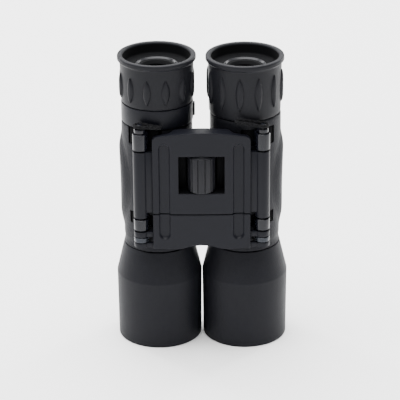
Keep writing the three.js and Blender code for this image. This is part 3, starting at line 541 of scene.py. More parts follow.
def build_ring_tree():
    tree, given, result = geometry_tree("ring_of_copies", [
        ("Source", "NodeSocketObject"), ("Count", "NodeSocketInt"), ("Radius", "NodeSocketFloat"),
        ("Start", "NodeSocketFloat"), ("Material", "NodeSocketMaterial")])
    source = tree.nodes.new("GeometryNodeObjectInfo")
    points = tree.nodes.new("GeometryNodePoints")
    index = tree.nodes.new("GeometryNodeInputIndex")
    share = maths(tree, "DIVIDE", index.outputs["Index"], given.outputs["Count"])
    azimuth = maths(tree, "MULTIPLY_ADD", share, 2 * math.pi, given.outputs["Start"])
    place = tree.nodes.new("ShaderNodeCombineXYZ")
    sideways = maths(tree, "MULTIPLY", maths(tree, "SINE", azimuth), given.outputs["Radius"])
    tree.links.new(sideways, place.inputs["X"])
    inward = maths(tree, "MULTIPLY", maths(tree, "COSINE", azimuth), given.outputs["Radius"])
    tree.links.new(maths(tree, "MULTIPLY", inward, -1.0), place.inputs["Y"])
    facing = tree.nodes.new("ShaderNodeCombineXYZ")
    tree.links.new(azimuth, facing.inputs["Z"])
    copies = tree.nodes.new("GeometryNodeInstanceOnPoints")
    wire(given, "Source", source, "Object")
    wire(given, "Count", points, "Count")
    wire(place, "Vector", points, "Position")
    wire(points, "Points", copies, "Points")
    wire(source, "Geometry", copies, "Instance")
    wire(facing, "Vector", copies, "Rotation")
    end_as_mesh(copies, "Instances", given, result)
    return tree


def grow(name, tree, values):
    """Runs a geometry tree with named inputs and returns its result as a plain mesh object."""
    carrier = in_scene(name + "_carrier", bpy.data.meshes.new(name))
    nodes = carrier.modifiers.new("grow", "NODES")
    nodes.node_group = tree
    for item in tree.interface.items_tree:
        if item.item_type == "SOCKET" and item.in_out == "INPUT" and item.name in values:
            nodes[item.identifier] = values[item.name]
    return plain_copy(carrier, name)


RING = build_ring_tree()


def ring_of(name, source_shape, count, radius, start, material, about, z=0.0):
    """count copies of a shape that faces the front, set round a centre; all in millimetres."""
    source = mesh_object("source", source_shape, material)
    made = grow(name, RING, {
        "Source": source, "Count": count, "Radius": radius * MM, "Start": start, "Material": material})
    bpy.data.objects.remove(source)
    made.data.transform(Matrix.Translation((about[0] * MM, about[1] * MM, z * MM)))
    smooth(made.data, 40)
    return made


print("ring tree with", len(RING.nodes), "nodes")

# %% [markdown]
# ## Objective ends
# The thick rubber at the bottom is a straight cylinder under a cone that narrows to the body. It is
# one turned shape with a soft outer edge. Inside it, a hard black hood carries fine steps that
# catch stray light; they are drawn as a saw-tooth outline, a loop rather than a list of points.

# %% Turn the rubber and the stepped hoods
HOOD_EDGE_Z = 33.2
HOOD_TAPER, HOOD_WALL, RUBBER_WALL = 0.35, 2.2, 0.9
RIM_RADIUS = HOOD_RADIUS - HOOD_TAPER
HOOD_BORE = HOOD_RADIUS - HOOD_WALL
BODY_RADIUS, CONE_STEP = 16.3, 0.3
CONE_TOP_RADIUS = BODY_RADIUS + CONE_STEP
TUBE_RADIUS, TUBE_BORE = 15.05, 14.05
SPIGOT_RADIUS, SPIGOT_BORE = 13.75, 12.9
BAFFLES, BAFFLE_TOP_Z, BAFFLE_PITCH, BAFFLE_DEPTH = 12, 14.2, 1.0, 0.35


def objective_rubber(side):
    corners = [
        (HOOD_BORE, 0, 0.25), (RIM_RADIUS, 0, 1.1), (HOOD_RADIUS, HOOD_EDGE_Z, 0.5),
        (CONE_TOP_RADIUS, SEAM_Z, 0.45), (CONE_TOP_RADIUS - RUBBER_WALL, SEAM_Z, 0.1),
        (HOOD_RADIUS - RUBBER_WALL, HOOD_EDGE_Z - 0.2, 0), (HOOD_RADIUS - RUBBER_WALL, 1.3, 0),
        (HOOD_BORE, 1.3, 0.1),
    ]
    made = turned_piece(f"objective_rubber_{side}", corners, AXIS[side], BARREL_RUBBER, 192, 6)
    return settle(made, f"barrel_{side}", "armour_rubber", f"objective_armour_{side}")


def stepped_hood(side):
    node = f"objective_housing_{side}"
    bottom, top = span(node)
    outer = high(node).x - AXIS[side].x
    neck = SEAM_Z - 0.8
    outline = [(HOOD_BORE, bottom), (outer, bottom), (outer, HOOD_EDGE_Z - 0.3)]
    outline += [(TUBE_RADIUS, SEAM_Z), (SPIGOT_RADIUS, SEAM_Z), (SPIGOT_RADIUS, top)]
    outline += [(SPIGOT_BORE, top), (SPIGOT_BORE, neck), (HOOD_BORE, HOOD_EDGE_Z - 0.7)]
    outline += [(HOOD_BORE, 14.6)]
    for k in range(BAFFLES):
        step_top = BAFFLE_TOP_Z - k * BAFFLE_PITCH
        outline += [(HOOD_BORE - 0.02, step_top), (HOOD_BORE + BAFFLE_DEPTH, step_top - 0.15)]
    made = mesh_object(f"stepped_hood_{side}", turned(outline, 128, AXIS[side]), FLAT_BLACK_AND_PAINTED_SHADE, 20)
    return settle(made, f"barrel_{side}", "black_metal", node)


for side in SIDES:
    print(objective_rubber(side).name, stepped_hood(side).name)

# %% [markdown]
# ## Objective lenses and their sliding carriages
# The lens sits deep in the hood, in a tube that slides to focus. The tube's lug reaches out through
# the body rubber to the focus pin, between two ears of the focus plate, where its brighter alloy
# shows.


# %% Turn the carriage, lens and retainer
EAR_HEIGHT, EAR_GAP, LUG_HEIGHT = 2.7, 0.3, 2.4
ARM_HALF_WIDTH = 2.8
CELL_RADIUS, CELL_BORE, CELL_SHELF = 17.7, 16.3, 15.1
GUIDE_RADIUS, GUIDE_BORE = 12.6, 11.6


def carriage(side):
    node = f"objective_carriage_{side}"
    base, top = span(node)
    lug_low = high(f"focus_pin_{side}").z - EAR_HEIGHT - EAR_GAP - LUG_HEIGHT
    guide_z = SEAM_Z - 2.3
    corners = [
        (CELL_BORE, base, 0.15), (CELL_RADIUS, base, 0.3), (CELL_RADIUS, base + 15.5, 0.3),
        (GUIDE_RADIUS, guide_z, 0), (GUIDE_RADIUS, top, 0.2), (GUIDE_BORE, top, 0.2),
        (GUIDE_BORE, guide_z, 0), (CELL_SHELF, base + 16.5, 0), (CELL_SHELF, base + 9.6, 0),
        (CELL_BORE, base + 9.6, 0),
    ]
    tube = turned(filleted(corners), 128, AXIS[side])
    lug_top = lug_low + LUG_HEIGHT
    arm = block(-ARM_HALF_WIDTH, ARM_HALF_WIDTH, -PIN_REACH + 2.2, -12.2, lug_low, lug_top, 0.3)
    made = mesh_object(f"carriage_{side}", joined(tube, toward_pin(arm, side)), BLACK_ALLOY)
    settle(made, f"carriage_{side}", "black_metal", node)
    eye = knuckle(lug_low, lug_top, PIN[side], 0.4)
    lug = mesh_object(f"carriage_lug_{side}", eye, LUG_ALLOY)
    return settle(lug, f"carriage_{side}", "black_metal")


def domed_lens(name, radius, z0, z1, lower_bulge, upper_bulge, about, body, node, flat=0.0):
    """A lens whose two curved faces end in a level rim, flat millimetres wide."""
    rings = 20
    radii = [radius * k / rings for k in range(rings + 1)]
    dome = [max(0.0, 1 - (r / (radius - flat)) ** 2) for r in radii]
    lower = [(r, z0 - lower_bulge * d) for r, d in zip(radii, dome)]
    upper = [(r, z1 + upper_bulge * d) for r, d in zip(radii[::-1], dome[::-1])]
    made = mesh_object(name, turned(lower + upper, 96, about), GLASS)
    return settle(made, body, "lens_glass", node)


def notched_retainer(name, outer, bore, z0, z1, about, body, node):
    """A screwed ring with two spanner slots in its lower face."""
    corners = [(bore, z0, 0.2), (outer, z0, 0.2), (outer, z1, 0.2), (bore, z1, 0.4)]
    ring = turned_piece(name, corners, about, BLACK_ALLOY)
    depth, half_width, past = 0.6, 0.7, 1
    slots = [
        block(-half_width, half_width, near, far, z0 - depth, z0 + depth, 0)
        for near, far in ((bore - past, outer + past), (-outer - past, past - bore))
    ]
    made = cut_away(ring, moved(joined(*slots), by=(*about, 0)))
    return settle(made, body, "black_metal", node)


for side in SIDES:
    carriage(side)
    node = f"objective_lens_{side}"
    body = f"carriage_{side}"
    base = low(f"objective_carriage_{side}").z
    domed_lens(f"front_lens_{side}", 16.0, base + 2.3, base + 9.2, 1.4, -0.5, AXIS[side], body, node)
    notched_retainer(
        f"front_ring_{side}", 16.0, 14.9, base + 0.2, base + 1.9, AXIS[side], body,
        f"objective_retainer_{side}")
print("carriages, front lenses and retaining rings")

# %% [markdown]
# ## Body rubber
# Each body is a sleeve with a small bead at its foot, a leaf-shaped grip pad on its outer side, a
# slight swell of the shoulder under it, and slots where the hinge arms and the lug come out. The
# sleeve is a fine grid of turned points, so the pad can rise out of it by a rule: full height inside
# a leaf outline, easing down over its edge. The slots are then cut with a boolean.

# %% Raise the grip pads and cut the slots
GRIP_AZIMUTH = math.radians(5)
GRIP_HALF_ANGLE = math.radians(36)
GRIP_Z = (56.0, 106.0)
GRIP_RISE, GRIP_EDGE = 1.4, 0.65
SHOULDER_SWELL, SHOULDER_Z, SHOULDER_HALF_ANGLE = 0.5, (75.0, 105.0), math.radians(46)
ARM_Z = {"upper": (101.8, 109.8), "lower": (61.9, 67.3)}
SLOT_HALF_WIDTH = 8.3


def eased(value):
    value = min(1.0, max(0.0, value))
    return value * value * (3 - 2 * value)


def grip_rise(side):
    outward = SIDES[side] * (math.pi / 2 - GRIP_AZIMUTH)
    centre, half = sum(GRIP_Z) / 2, (GRIP_Z[1] - GRIP_Z[0]) / 2

    def rise(azimuth, z):
        away = math.atan2(math.sin(azimuth - outward), math.cos(azimuth - outward))
        along = (z - centre) / half
        fuller = max(0.0, 1 - (away / SHOULDER_HALF_ANGLE) ** 2)
        swell = SHOULDER_SWELL * fuller * eased((z - SHOULDER_Z[0]) / (SHOULDER_Z[1] - SHOULDER_Z[0]))
        into = (1 - along * along - abs(away / GRIP_HALF_ANGLE)) / GRIP_EDGE
        return GRIP_RISE * eased(into) + swell

    return rise


def body_rubber(side):
    node = f"body_armour_{side}"
    bottom, top = span(node)
    radius = BODY_RADIUS
    rows = [(radius, z) for z in np.linspace(bottom + 5.0, top - 1.2, 84)]
    outline = [(radius - 0.95, bottom), (radius - 0.1, bottom), (radius + 0.08, bottom + 0.2)]
    outline += [(radius + 0.08, bottom + 0.5), (radius - 0.1, bottom + 1.3)]
    outline += [(radius - 0.3, bottom + 2.6), (radius - 0.1, bottom + 3.8)] + rows
    outline += [(radius - 0.1, top - 0.5), (radius - 0.45, top - 0.1), (radius - 0.95, top)]
    sleeve = mesh_object(
        f"body_rubber_{side}",
        turned(outline, 216, AXIS[side], grip_rise(side), radius - 0.4), STIPPLED_RUBBER, 50)
    lug_low = low(f"focus_pin_{side}").z + 2.6
    openings = [(SLOT_HALF_WIDTH, z0 - 0.3, z1 + 0.3) for z0, z1 in ARM_Z.values()]
    openings.append((3.1, lug_low - 3.3, lug_low + 2.7))
    slots = [
        toward_pin(block(-half, half, -20, -8, z0, z1, 0), side)
        for half, z0, z1 in openings
    ]
    made = cut_away(sleeve, joined(*slots), 50)
    return settle(made, f"barrel_{side}", "armour_rubber", node)


for side in SIDES:
    made = body_rubber(side)
    print(made.name, len(made.data.polygons), "faces")

# %% [markdown]
# ## Barrel tubes with their hinge arms
# Under the rubber an alloy tube carries two arms with knuckles that take the hinge pin. The foot of
# each arm lies in its slot and is painted near-black, painted shade that makes the slot read as a
# dark recess beside the knuckle.


# %% Build the tubes and arms
def barrel_tube(side):
    node = f"barrel_tube_{side}"
    bottom, top = span(node)
    wall = filleted(ring_corners(TUBE_BORE, TUBE_RADIUS, bottom, top, 0, 0.1))
    sleeve = [turned(wall, 96, AXIS[side])]
    arms = []
    for z0, z1 in ARM_Z.values():
        arms.append(knuckle(z0, z1, PIN[side]))
        neck = block(-ARM_HALF_WIDTH, ARM_HALF_WIDTH, -PIN_REACH + 1.9, -14.6, z0, z1, 0.3)
        arms.append(toward_pin(neck, side))
        # Painted shade: the feet take the near-black finish so that each slot reads as a dark recess.
        foot = block(-7.2, 7.2, -15.1, -13.2, z0, z1, 0.2)
        sleeve.append(toward_pin(foot, side))
    tube = mesh_object(f"tube_and_feet_{side}", joined(*sleeve), FLAT_BLACK_AND_PAINTED_SHADE)
    settle(tube, f"barrel_{side}", "black_metal", node)
    made = mesh_object(f"hinge_arms_{side}", joined(*arms), HINGE_PAINT)
    return settle(made, f"barrel_{side}", "black_metal", node)


for side in SIDES:
    print(barrel_tube(side).name)

# %% [markdown]
# ## Bridge plate and focus plate
# Both plates are shallow castings: a front that crowns toward the middle, two sunk flutes with round
# ends that run on from one plate to the other, and on the upper one a window for the focus wheel.
# Each is drawn as two sheets of points, front and back, whose height follows a rule, stitched
# together round every edge. Because the grid follows the outline, the edge bevel afterwards stays
# clean.

# %% The rules of the plates
PLATE_HALF = 22.6
PLATE_FRONT_Y = AXIS["left"].y - 22.0
CROWN = 1.1
PLATE_BACK_Y = PLATE_FRONT_Y + 2.5
FLUTE_X, FLUTE_HALF, FLUTE_DEPTH = 17.1, 2.85, 1.0
FLUTE_Z = (58.0, 105.9)
FLUTE_WALL = 0.32
WINDOW_HALF, WINDOW_Z = 10.6, (81.2, 99.6)
HOUSING_HALF, HOUSING_BACK_Y = 12.2, AXIS["left"].y - 15.9
SADDLE_HALF, SADDLE_BACK_Y = 10.0, AXIS["left"].y - 16.9
CORNER = 2.0
UPPER_BOTTOM_Z = low("upper_plate").z + 2.85
UPPER_TOP_Z, UPPER_ARCH = 108.7, 2.35
UPPER_KNUCKLE_TOP_Z = 101.05
BEVEL = 0.38
LOWER_BOTTOM_Z, LOWER_NOTCH, LOWER_NOTCH_HALF = low("focus_plate").z, 2.0, 9.5
LOWER_TOP_Z = high("focus_plate").z


def plate_front(x, z):
    base = PLATE_FRONT_Y - CROWN * (1 - (x / PLATE_HALF) ** 2)
    past_end = max(0.0, z - (FLUTE_Z[1] - FLUTE_HALF), (FLUTE_Z[0] + FLUTE_HALF) - z)
    away = math.hypot(abs(x) - FLUTE_X, past_end) / FLUTE_HALF
    return base + FLUTE_DEPTH * eased((1 - away) / FLUTE_WALL)


def housing_back(x, deep, half):
    share = eased((half + 3.0 - abs(x)) / 3.0)
    return PLATE_BACK_Y + (deep - PLATE_BACK_Y) * share


def column_stops(inner):
    """x positions: close together over the flutes and the housing's shoulders, wider between."""
    wall = FLUTE_HALF * FLUTE_WALL
    near, far = FLUTE_X - FLUTE_HALF, FLUTE_X + FLUTE_HALF
    half = [*np.linspace(0, inner, 9)]
    half += [*np.linspace(inner, near, 9)[1:]]
    half += [*np.linspace(near, near + wall, 6)[1:]]
    half += [*np.linspace(near + wall, far - wall, 11)[1:]]
    half += [*np.linspace(far - wall, far, 6)[1:]]
    half += [far + 0.65, PLATE_HALF - 1.0, PLATE_HALF - 0.5, PLATE_HALF]
    return [-x for x in half[:0:-1]] + half


def stitched(xs, rows_at, front, back, missing=lambda i, j: False):
    """Two sheets of points over the same grid, joined round every free edge."""
    columns, rows = len(xs), len(rows_at(xs[0]))
    verts = []
    for sheet in (front, back):
        for x in xs:
            verts += [(x, sheet(x, z), z) for z in rows_at(x)]
    offset = columns * rows
    faces = []

    def solid(i, j):
        return 0 <= i < columns - 1 and 0 <= j < rows - 1 and not missing(i, j)

    for i in range(columns - 1):
        for j in range(rows - 1):
            if not solid(i, j):
                continue
            loop = [i * rows + j, (i + 1) * rows + j, (i + 1) * rows + j + 1, i * rows + j + 1]
            faces.append(tuple(loop))
            faces.append(tuple(offset + k for k in reversed(loop)))
            for side, (di, dj) in enumerate([(0, -1), (1, 0), (0, 1), (-1, 0)]):
                if not solid(i + di, j + dj):
                    a, b = loop[side], loop[(side + 1) % 4]
                    faces.append((b, a, offset + a, offset + b))
    return verts, faces


def bevelled(shape, width, segments=3, angle=55):
    """Rounds every edge of a closed shape that is sharper than the angle."""
    bm = bmesh.new()
    points = [bm.verts.new(v) for v in shape[0]]
    for face in shape[1]:
        bm.faces.new([points[i] for i in face])
    loose = [v for v in bm.verts if not v.link_faces]
    bmesh.ops.delete(bm, geom=loose, context="VERTS")
    bm.normal_update()
    edges = [e for e in bm.edges if len(e.link_faces) == 2 and e.calc_face_angle() > math.radians(angle)]
    bmesh.ops.bevel(
        bm, geom=edges, offset=width, segments=segments, affect="EDGES", profile=0.5,
        clamp_overlap=True)
    bm.verts.index_update()
    made = [tuple(v.co) for v in bm.verts], [tuple(v.index for v in f.verts) for f in bm.faces]
    bm.free()
    return made


print("plates are", 2 * PLATE_HALF, "mm wide")


# %% Build the upper plate with its knuckles
def corner_drop(x):
    into = max(0.0, abs(x) - (PLATE_HALF - CORNER)) / CORNER
    return CORNER * (1 - math.sqrt(max(0.0, 1 - into * into)))


def upper_rows(x):
    top = UPPER_TOP_Z + UPPER_ARCH * (1 - (x / PLATE_HALF) ** 2) - corner_drop(x) * 0.8
    end_z = FLUTE_Z[1]
    rows = [UPPER_BOTTOM_Z, UPPER_BOTTOM_Z + 0.6]
    rows += [*np.linspace(UPPER_BOTTOM_Z + 1.5, WINDOW_Z[0] - 0.6, 7), WINDOW_Z[0], WINDOW_Z[0] + 0.6]
    rows += [*np.linspace(WINDOW_Z[0] + 2, WINDOW_Z[1] - 2, 9)]
    rows += [WINDOW_Z[1] - 0.6, WINDOW_Z[1], WINDOW_Z[1] + 0.6]
    rows += [*np.linspace(WINDOW_Z[1] + 1.6, end_z - FLUTE_HALF, 4)]
    rows += [*np.linspace(end_z - FLUTE_HALF, end_z + 0.1, 15)[1:]]
    shoulder = min(rows[-1] + 0.35, top - 1.0)
    rows += [shoulder, top - 0.55, top]
    return rows


def web_and_knuckle(side, z0, z1, web_low=None):
    sign = SIDES[side]
    front = PLATE_FRONT_Y + 1.3
    inner, outer = sorted((sign * (PLATE_HALF - 0.4), PIN[side].x))
    web = block(inner, outer, front, front + 2.0, z0 if web_low is None else web_low, z1, 0.25)
    return joined(knuckle(z0, z1, PIN[side]), web)


def upper_plate():
    xs = column_stops(WINDOW_HALF)
    rows = upper_rows(0)
    low_row, high_row = rows.index(WINDOW_Z[0]), rows.index(WINDOW_Z[1])

    def window(i, j):
        return abs(xs[i] + xs[i + 1]) / 2 < WINDOW_HALF and low_row <= j < high_row

    casting = stitched(
        xs, upper_rows, plate_front, lambda x, z: housing_back(x, HOUSING_BACK_Y, HOUSING_HALF), window)
    bottom = low("upper_plate").z
    sides = [web_and_knuckle(side, bottom, UPPER_KNUCKLE_TOP_Z, UPPER_BOTTOM_Z) for side in SIDES]
    made = mesh_object("bridge_plate", joined(bevelled(casting, BEVEL), *sides), PLATE_PAINT)
    # Painted shade: the window's inner walls behind the front take the near-black finish, standing in for
    # the shadow inside the window.
    paint_shade_inside(made, FLAT_BLACK_AND_PAINTED_SHADE, lambda at, normal: (
        abs(at.x) < WINDOW_HALF + 0.1
        and WINDOW_Z[0] - 0.1 < at.z < WINDOW_Z[1] + 0.1
        and at.y > plate_front(at.x, at.z) + 0.5))
    return settle(made, "bridge", "satin_cover", "upper_plate")


plate = upper_plate()
print(plate.name, len(plate.data.polygons), "faces")


# %% Build the focus plate with its ears
def lower_rows(x):
    into = min(1.0, abs(x) / LOWER_NOTCH_HALF)
    bottom = LOWER_BOTTOM_Z + LOWER_NOTCH * (1 - into * into)
    end_z = FLUTE_Z[0]
    rows = [bottom, bottom + 0.6, min(bottom + 1.4, end_z - 0.5)]
    rows += [*np.linspace(end_z - 0.1, end_z + FLUTE_HALF, 15)]
    rows += [*np.linspace(end_z + FLUTE_HALF + 1, LOWER_TOP_Z - 1.2, 8), LOWER_TOP_Z - 0.6, LOWER_TOP_Z]
    return rows


def focus_plate():
    boss_back = AXIS["left"].y - 12.6
    casting = stitched(
        column_stops(SADDLE_HALF), lower_rows, plate_front,
        lambda x, z: housing_back(x, SADDLE_BACK_Y, SADDLE_HALF))
    boss = block(-6, 6, PLATE_FRONT_Y + 1, boss_back, LOWER_BOTTOM_Z + 4.2, LOWER_TOP_Z - 0.02, 0.4)
    ear_top = high("focus_pin_left").z
    ears = [web_and_knuckle(side, ear_top - EAR_HEIGHT, ear_top) for side in SIDES]
    ears += [web_and_knuckle(side, LOWER_BOTTOM_Z + 0.2, LOWER_BOTTOM_Z + 2.5) for side in SIDES]
    made = mesh_object("sliding_plate", joined(bevelled(casting, BEVEL), boss, *ears), PLATE_PAINT)
    return settle(made, "focus_slide", "satin_cover", "focus_plate")


print(focus_plate().name)

# %% [markdown]
# ## Focus wheel
# The wheel is a plain core with broad flat lands standing round it, parted by narrow grooves. One
# land is modelled with rounded edges, and the ring tree sets twelve of them round the core.

# %% Set the lands round the wheel
WHEEL = middle("focus_wheel_hub").to_2d()
WHEEL_Z = span("focus_wheel_hub")
WHEEL_RADIUS = 6.4
LANDS, HALF_GROOVE = 12, 0.24
LAND_SEAT, LAND_RISE = WHEEL_RADIUS - 0.72, 0.66
CORE_RADIUS, CORE_BORE, HUB_RADIUS, HUB_BORE = 5.95, 5.2, 5.0, 2.3


def focus_wheel():
    foot, top = WHEEL_Z
    core_corners = [
        (CORE_BORE, foot, 0), (CORE_RADIUS, foot, 0.2), (CORE_RADIUS, top - 0.5, 0.3),
        (CORE_BORE, top - 0.3, 0)]
    core = turned_piece("wheel_core", core_corners, WHEEL, WHEEL_RUBBER)
    settle(core, "focus_wheel", "wheel_rubber", "focus_wheel_sleeve")
    half = math.pi * WHEEL_RADIUS / LANDS - HALF_GROOVE
    land = block(-half, half, -LAND_RISE, 0.6, foot + 0.2, top - 0.7, 0.4, 3)
    lands = ring_of("wheel_lands", land, LANDS, LAND_SEAT, 0.0, WHEEL_RUBBER, WHEEL)
    settle(lands, "focus_wheel", "wheel_rubber", "focus_wheel_sleeve")
    hub_corners = ring_corners(HUB_BORE, HUB_RADIUS, *WHEEL_Z, 0.1, 0.25)
    hub = turned_piece("wheel_hub", hub_corners, WHEEL, BLACK_ALLOY, 64)
    return settle(hub, "focus_wheel", "black_metal", "focus_wheel_hub")


focus_wheel()
print("wheel with", LANDS, "lands")

# %% [markdown]
# ## Cover and screws behind the wheel
# A pressed cover closes the back of the wheel's housing: a flat flange and a tapering hump, hollowed
# by a boolean so that the wheel can turn inside it. It is held by four small cross-head screws: one
# screw is turned and its cross cut, then copied to the four corners.


# %% Press the cover and drive the screws
COVER_MOUTH_HALF, COVER_REAR_HALF, COVER_WALL = 9.2, 6.2, 1.1


def back_cover():
    axis_y, rear = AXIS["left"].y, high("back_cover").y
    z0, z1 = span("back_cover")
    flange = block(-12.0, 12.0, axis_y - 15.6, axis_y - 14.4, z0, z1, 0.35, 3)

    def hump_outline(mouth):
        return [
            (-COVER_MOUTH_HALF, mouth), (COVER_MOUTH_HALF, mouth), (COVER_REAR_HALF, rear),
            (-COVER_REAR_HALF, rear)]

    hump_verts = [(x, y, z) for z in (z0 + 1, z1 - 1) for x, y in hump_outline(axis_y - 15.0)]
    hump_faces = [(3, 2, 1, 0), (4, 5, 6, 7)]
    hump_faces += [(i, (i + 1) % 4, (i + 1) % 4 + 4, i + 4) for i in range(4)]
    hump = bevelled((hump_verts, hump_faces), 0.9, 4, 20)
    made = mesh_object("wheel_cover", joined(flange, hump), PLATE_PAINT)
    hollow_verts = [
        (x * 0.86, min(y, rear - COVER_WALL), z)
        for z in WINDOW_Z for x, y in hump_outline(axis_y - 17)
    ]
    made = cut_away(made, (hollow_verts, hump_faces))
    # Painted shade: the cover's inner faces round the wheel take the near-black finish, standing in for
    # the shadow behind the wheel.
    paint_shade_inside(made, FLAT_BLACK_AND_PAINTED_SHADE, lambda at, normal: (
        WINDOW_Z[0] - 0.1 < at.z < WINDOW_Z[1] + 0.1
        and Vector((at.x, at.y - WHEEL.y, 0)).dot(normal) < -0.1))
    return settle(made, "bridge", "satin_cover", "back_cover")


def cross_head():
    """A pan head that faces +Y, with a cross recess."""
    corners = [(0, -0.6, 0), (1.6, -0.6, 0), (1.6, 0.1, 0.1), (1.3, 0.5, 0.4), (0, 0.6, 0)]
    head = turned(filleted(corners, 3), 32)
    made = mesh_object("screw_source", head, STEEL)
    cross = joined(
        block(-0.9, 0.9, -0.16, 0.16, 0.2, 1.0, 0), block(-0.16, 0.16, -0.9, 0.9, 0.2, 1.0, 0))
    made = cut_away(made, cross)
    made.data.transform(Matrix.Rotation(-math.pi / 2, 4, "X"))
    return made


back_cover()
source = cross_head()
for number in range(1, 5):
    node = f"back_cover_screw_{number}"
    place = Vector((middle(node).x, AXIS["left"].y - 14.3, middle(node).z)) * MM
    screw = in_scene(f"cover_screw_{number}", source.data.copy())
    screw.data.transform(Matrix.Translation(place))
    settle(screw, "bridge", "steel", node)
bpy.data.objects.remove(source)
print("cover and four screws")

# %% [markdown]
# ## Hinge pins
# The long pins show only at the top, as a small glossy black head with a stud that the strap loop
# hooks round. The short steel focus pins go through the ears of the focus plate and the lugs. All
# four are turned, which gives each shoulder its own small fillet.


# %% Turn the pins
PIN_RADIUS, STUD_RADIUS, STUD_HEIGHT = 1.5, 1.2, 1.9
HEAD_RADIUS, HEAD_HEIGHT = 2.6, 2.0


def hinge_pin(side):
    node = f"hinge_pin_{side}"
    bottom, top = span(node)
    head = top - STUD_HEIGHT - HEAD_HEIGHT
    head_top = head + HEAD_HEIGHT
    corners = [
        (0, bottom, 0), (PIN_RADIUS, bottom, 0.2), (PIN_RADIUS, head, 0), (HEAD_RADIUS, head, 0.15),
        (HEAD_RADIUS, head_top, 0.45), (STUD_RADIUS, head_top, 0.15), (STUD_RADIUS, top, 0.35),
        (0, top, 0),
    ]
    made = turned_piece(f"pin_{side}", corners, PIN[side], HINGE_PAINT, 48)
    settle(made, "bridge", "black_metal", node)
    node = f"focus_pin_{side}"
    bottom, top = span(node)
    corners = [(0, bottom, 0), (PIN_RADIUS, bottom, 0.3), (PIN_RADIUS, top, 0.2), (0, top, 0)]
    made = turned_piece(f"lower_pin_{side}", corners, PIN[side], STEEL, 48)
    return settle(made, "focus_slide", "steel", node)


for side in SIDES:
    hinge_pin(side)
print("four pins")

# %% [markdown]
# ## Eyecups
# A soft cup with a rolled lip, a shallow floor round the eye lens, and leaf-shaped ribs that give
# the fingers a hold. The cup is turned; one rib is drawn as a crowned leaf and the ring tree sets
# twelve of them round it, sunk a little into the wall.

# %% Turn the cups and set out their ribs
RIBS = 12
RIB_START = {"left": math.radians(-9), "right": math.radians(-15)}
RIB_SPAN = {"left": (118.9, 135.2), "right": (122.0, 134.4)}
CUP_BASE, CUP_NECK, LIP, LIP_BORE = 16.6, 17.0, 18.2, 16.1
CUP_BORE, EYE_BORE = 14.1, 10.1


def leaf(half_width, half_height, rise, sink=0.5):
    """A crowned leaf that faces the front, closed behind, centred on its own middle."""
    across, along = 12, 28
    verts, faces = [], []
    for j in range(along + 1):
        v = 2 * j / along - 1
        width = half_width * (1 - v * v) + 0.02
        for i in range(across + 1):
            u = 2 * i / across - 1
            crown = rise * (1 - abs(u) ** 3.0) * math.sqrt(max(0.0, 1 - v**4))
            bow = (width * u) ** 2 / (2 * CUP_BASE)
            verts.append((width * u, -crown + bow, half_height * v))
    shell = len(verts)
    verts += [(x, sink, z) for x, y, z in verts]
    rows = across + 1
    for j in range(along):
        for i in range(across):
            a = j * rows + i
            faces.append((a, a + 1, a + rows + 1, a + rows))
            faces.append((shell + a + rows, shell + a + rows + 1, shell + a + 1, shell + a))
    rim = [*range(across), *(across + rows * j for j in range(along))]
    rim += [along * rows + across - i for i in range(across)]
    rim += [(along - j) * rows for j in range(along)]
    for k, a in enumerate(rim):
        b = rim[(k + 1) % len(rim)]
        faces.append((b, a, shell + a, shell + b))
    return verts, faces


def eyecup(side, body):
    node = f"eyecup_{side}"
    base, top = span(node)
    floor_z = top - 5.4
    corners = [
        (CUP_BORE, base, 0.1), (CUP_BASE, base, 0.6), (CUP_BASE + 0.1, base + 2.0, 0),
        (CUP_NECK, top - 6.0, 3.0), (CUP_NECK + 0.05, top - 2.9, 1.8), (LIP, top - 2.1, 0.6),
        (LIP, top, 0.9), (LIP_BORE - 0.3, top, 1.1), (LIP_BORE - 0.9, floor_z, 1.2),
        (EYE_BORE, floor_z, 0.2), (EYE_BORE, floor_z - 1.8, 0.1), (CUP_BORE, floor_z - 1.8, 0),
    ]
    cup = turned_piece(f"cup_{side}", corners, AXIS[side], CUP_RUBBER, 192, 7, 40)
    # Painted shade: the cup's inner wall and floor below the lip take the near-black finish, standing in
    # for the shade inside the cup.
    paint_shade_inside(cup, FLAT_BLACK_AND_PAINTED_SHADE, lambda at, normal: (
        (at.to_2d() - AXIS[side]).length < LIP_BORE - 0.5 and at.z < top - 1.0))
    settle(cup, body, "eyecup_rubber", node)
    z0, z1 = RIB_SPAN[side]
    shape = leaf(2.05, (z1 - z0) / 2, 1.15)
    radius = CUP_BASE + (CUP_NECK - CUP_BASE) * ((z0 + z1) / 2 - base) / (top - base)
    ribs = ring_of(
        f"cup_ribs_{side}", shape, RIBS, radius, RIB_START[side], CUP_RUBBER, AXIS[side], (z0 + z1) / 2)
    return settle(ribs, body, "eyecup_rubber", node)


EYE_BODY = {"left": "barrel_left", "right": "eyepiece_right"}
for side in SIDES:
    made = eyecup(side, EYE_BODY[side])
    print(made.name, len(made.data.polygons), "faces")

# %% [markdown]
# ## Eyepieces and the dioptre ring
# Inside each cup a screwed ring holds a domed eye lens, and a tube under it carries the whole
# eyepiece. On the right barrel a smooth ring under the cup sets the dioptre; a raised tab shows its
# position. These are all turned but the tab, which is a bevelled block.


# %% Fit the eye lenses, their rings and the dioptre ring
EYE_LENS_RADIUS, OCULAR_BORE, SHELF_BORE = 9.8, 12.15, 7.5
DIOPTRE_RADIUS = 16.75


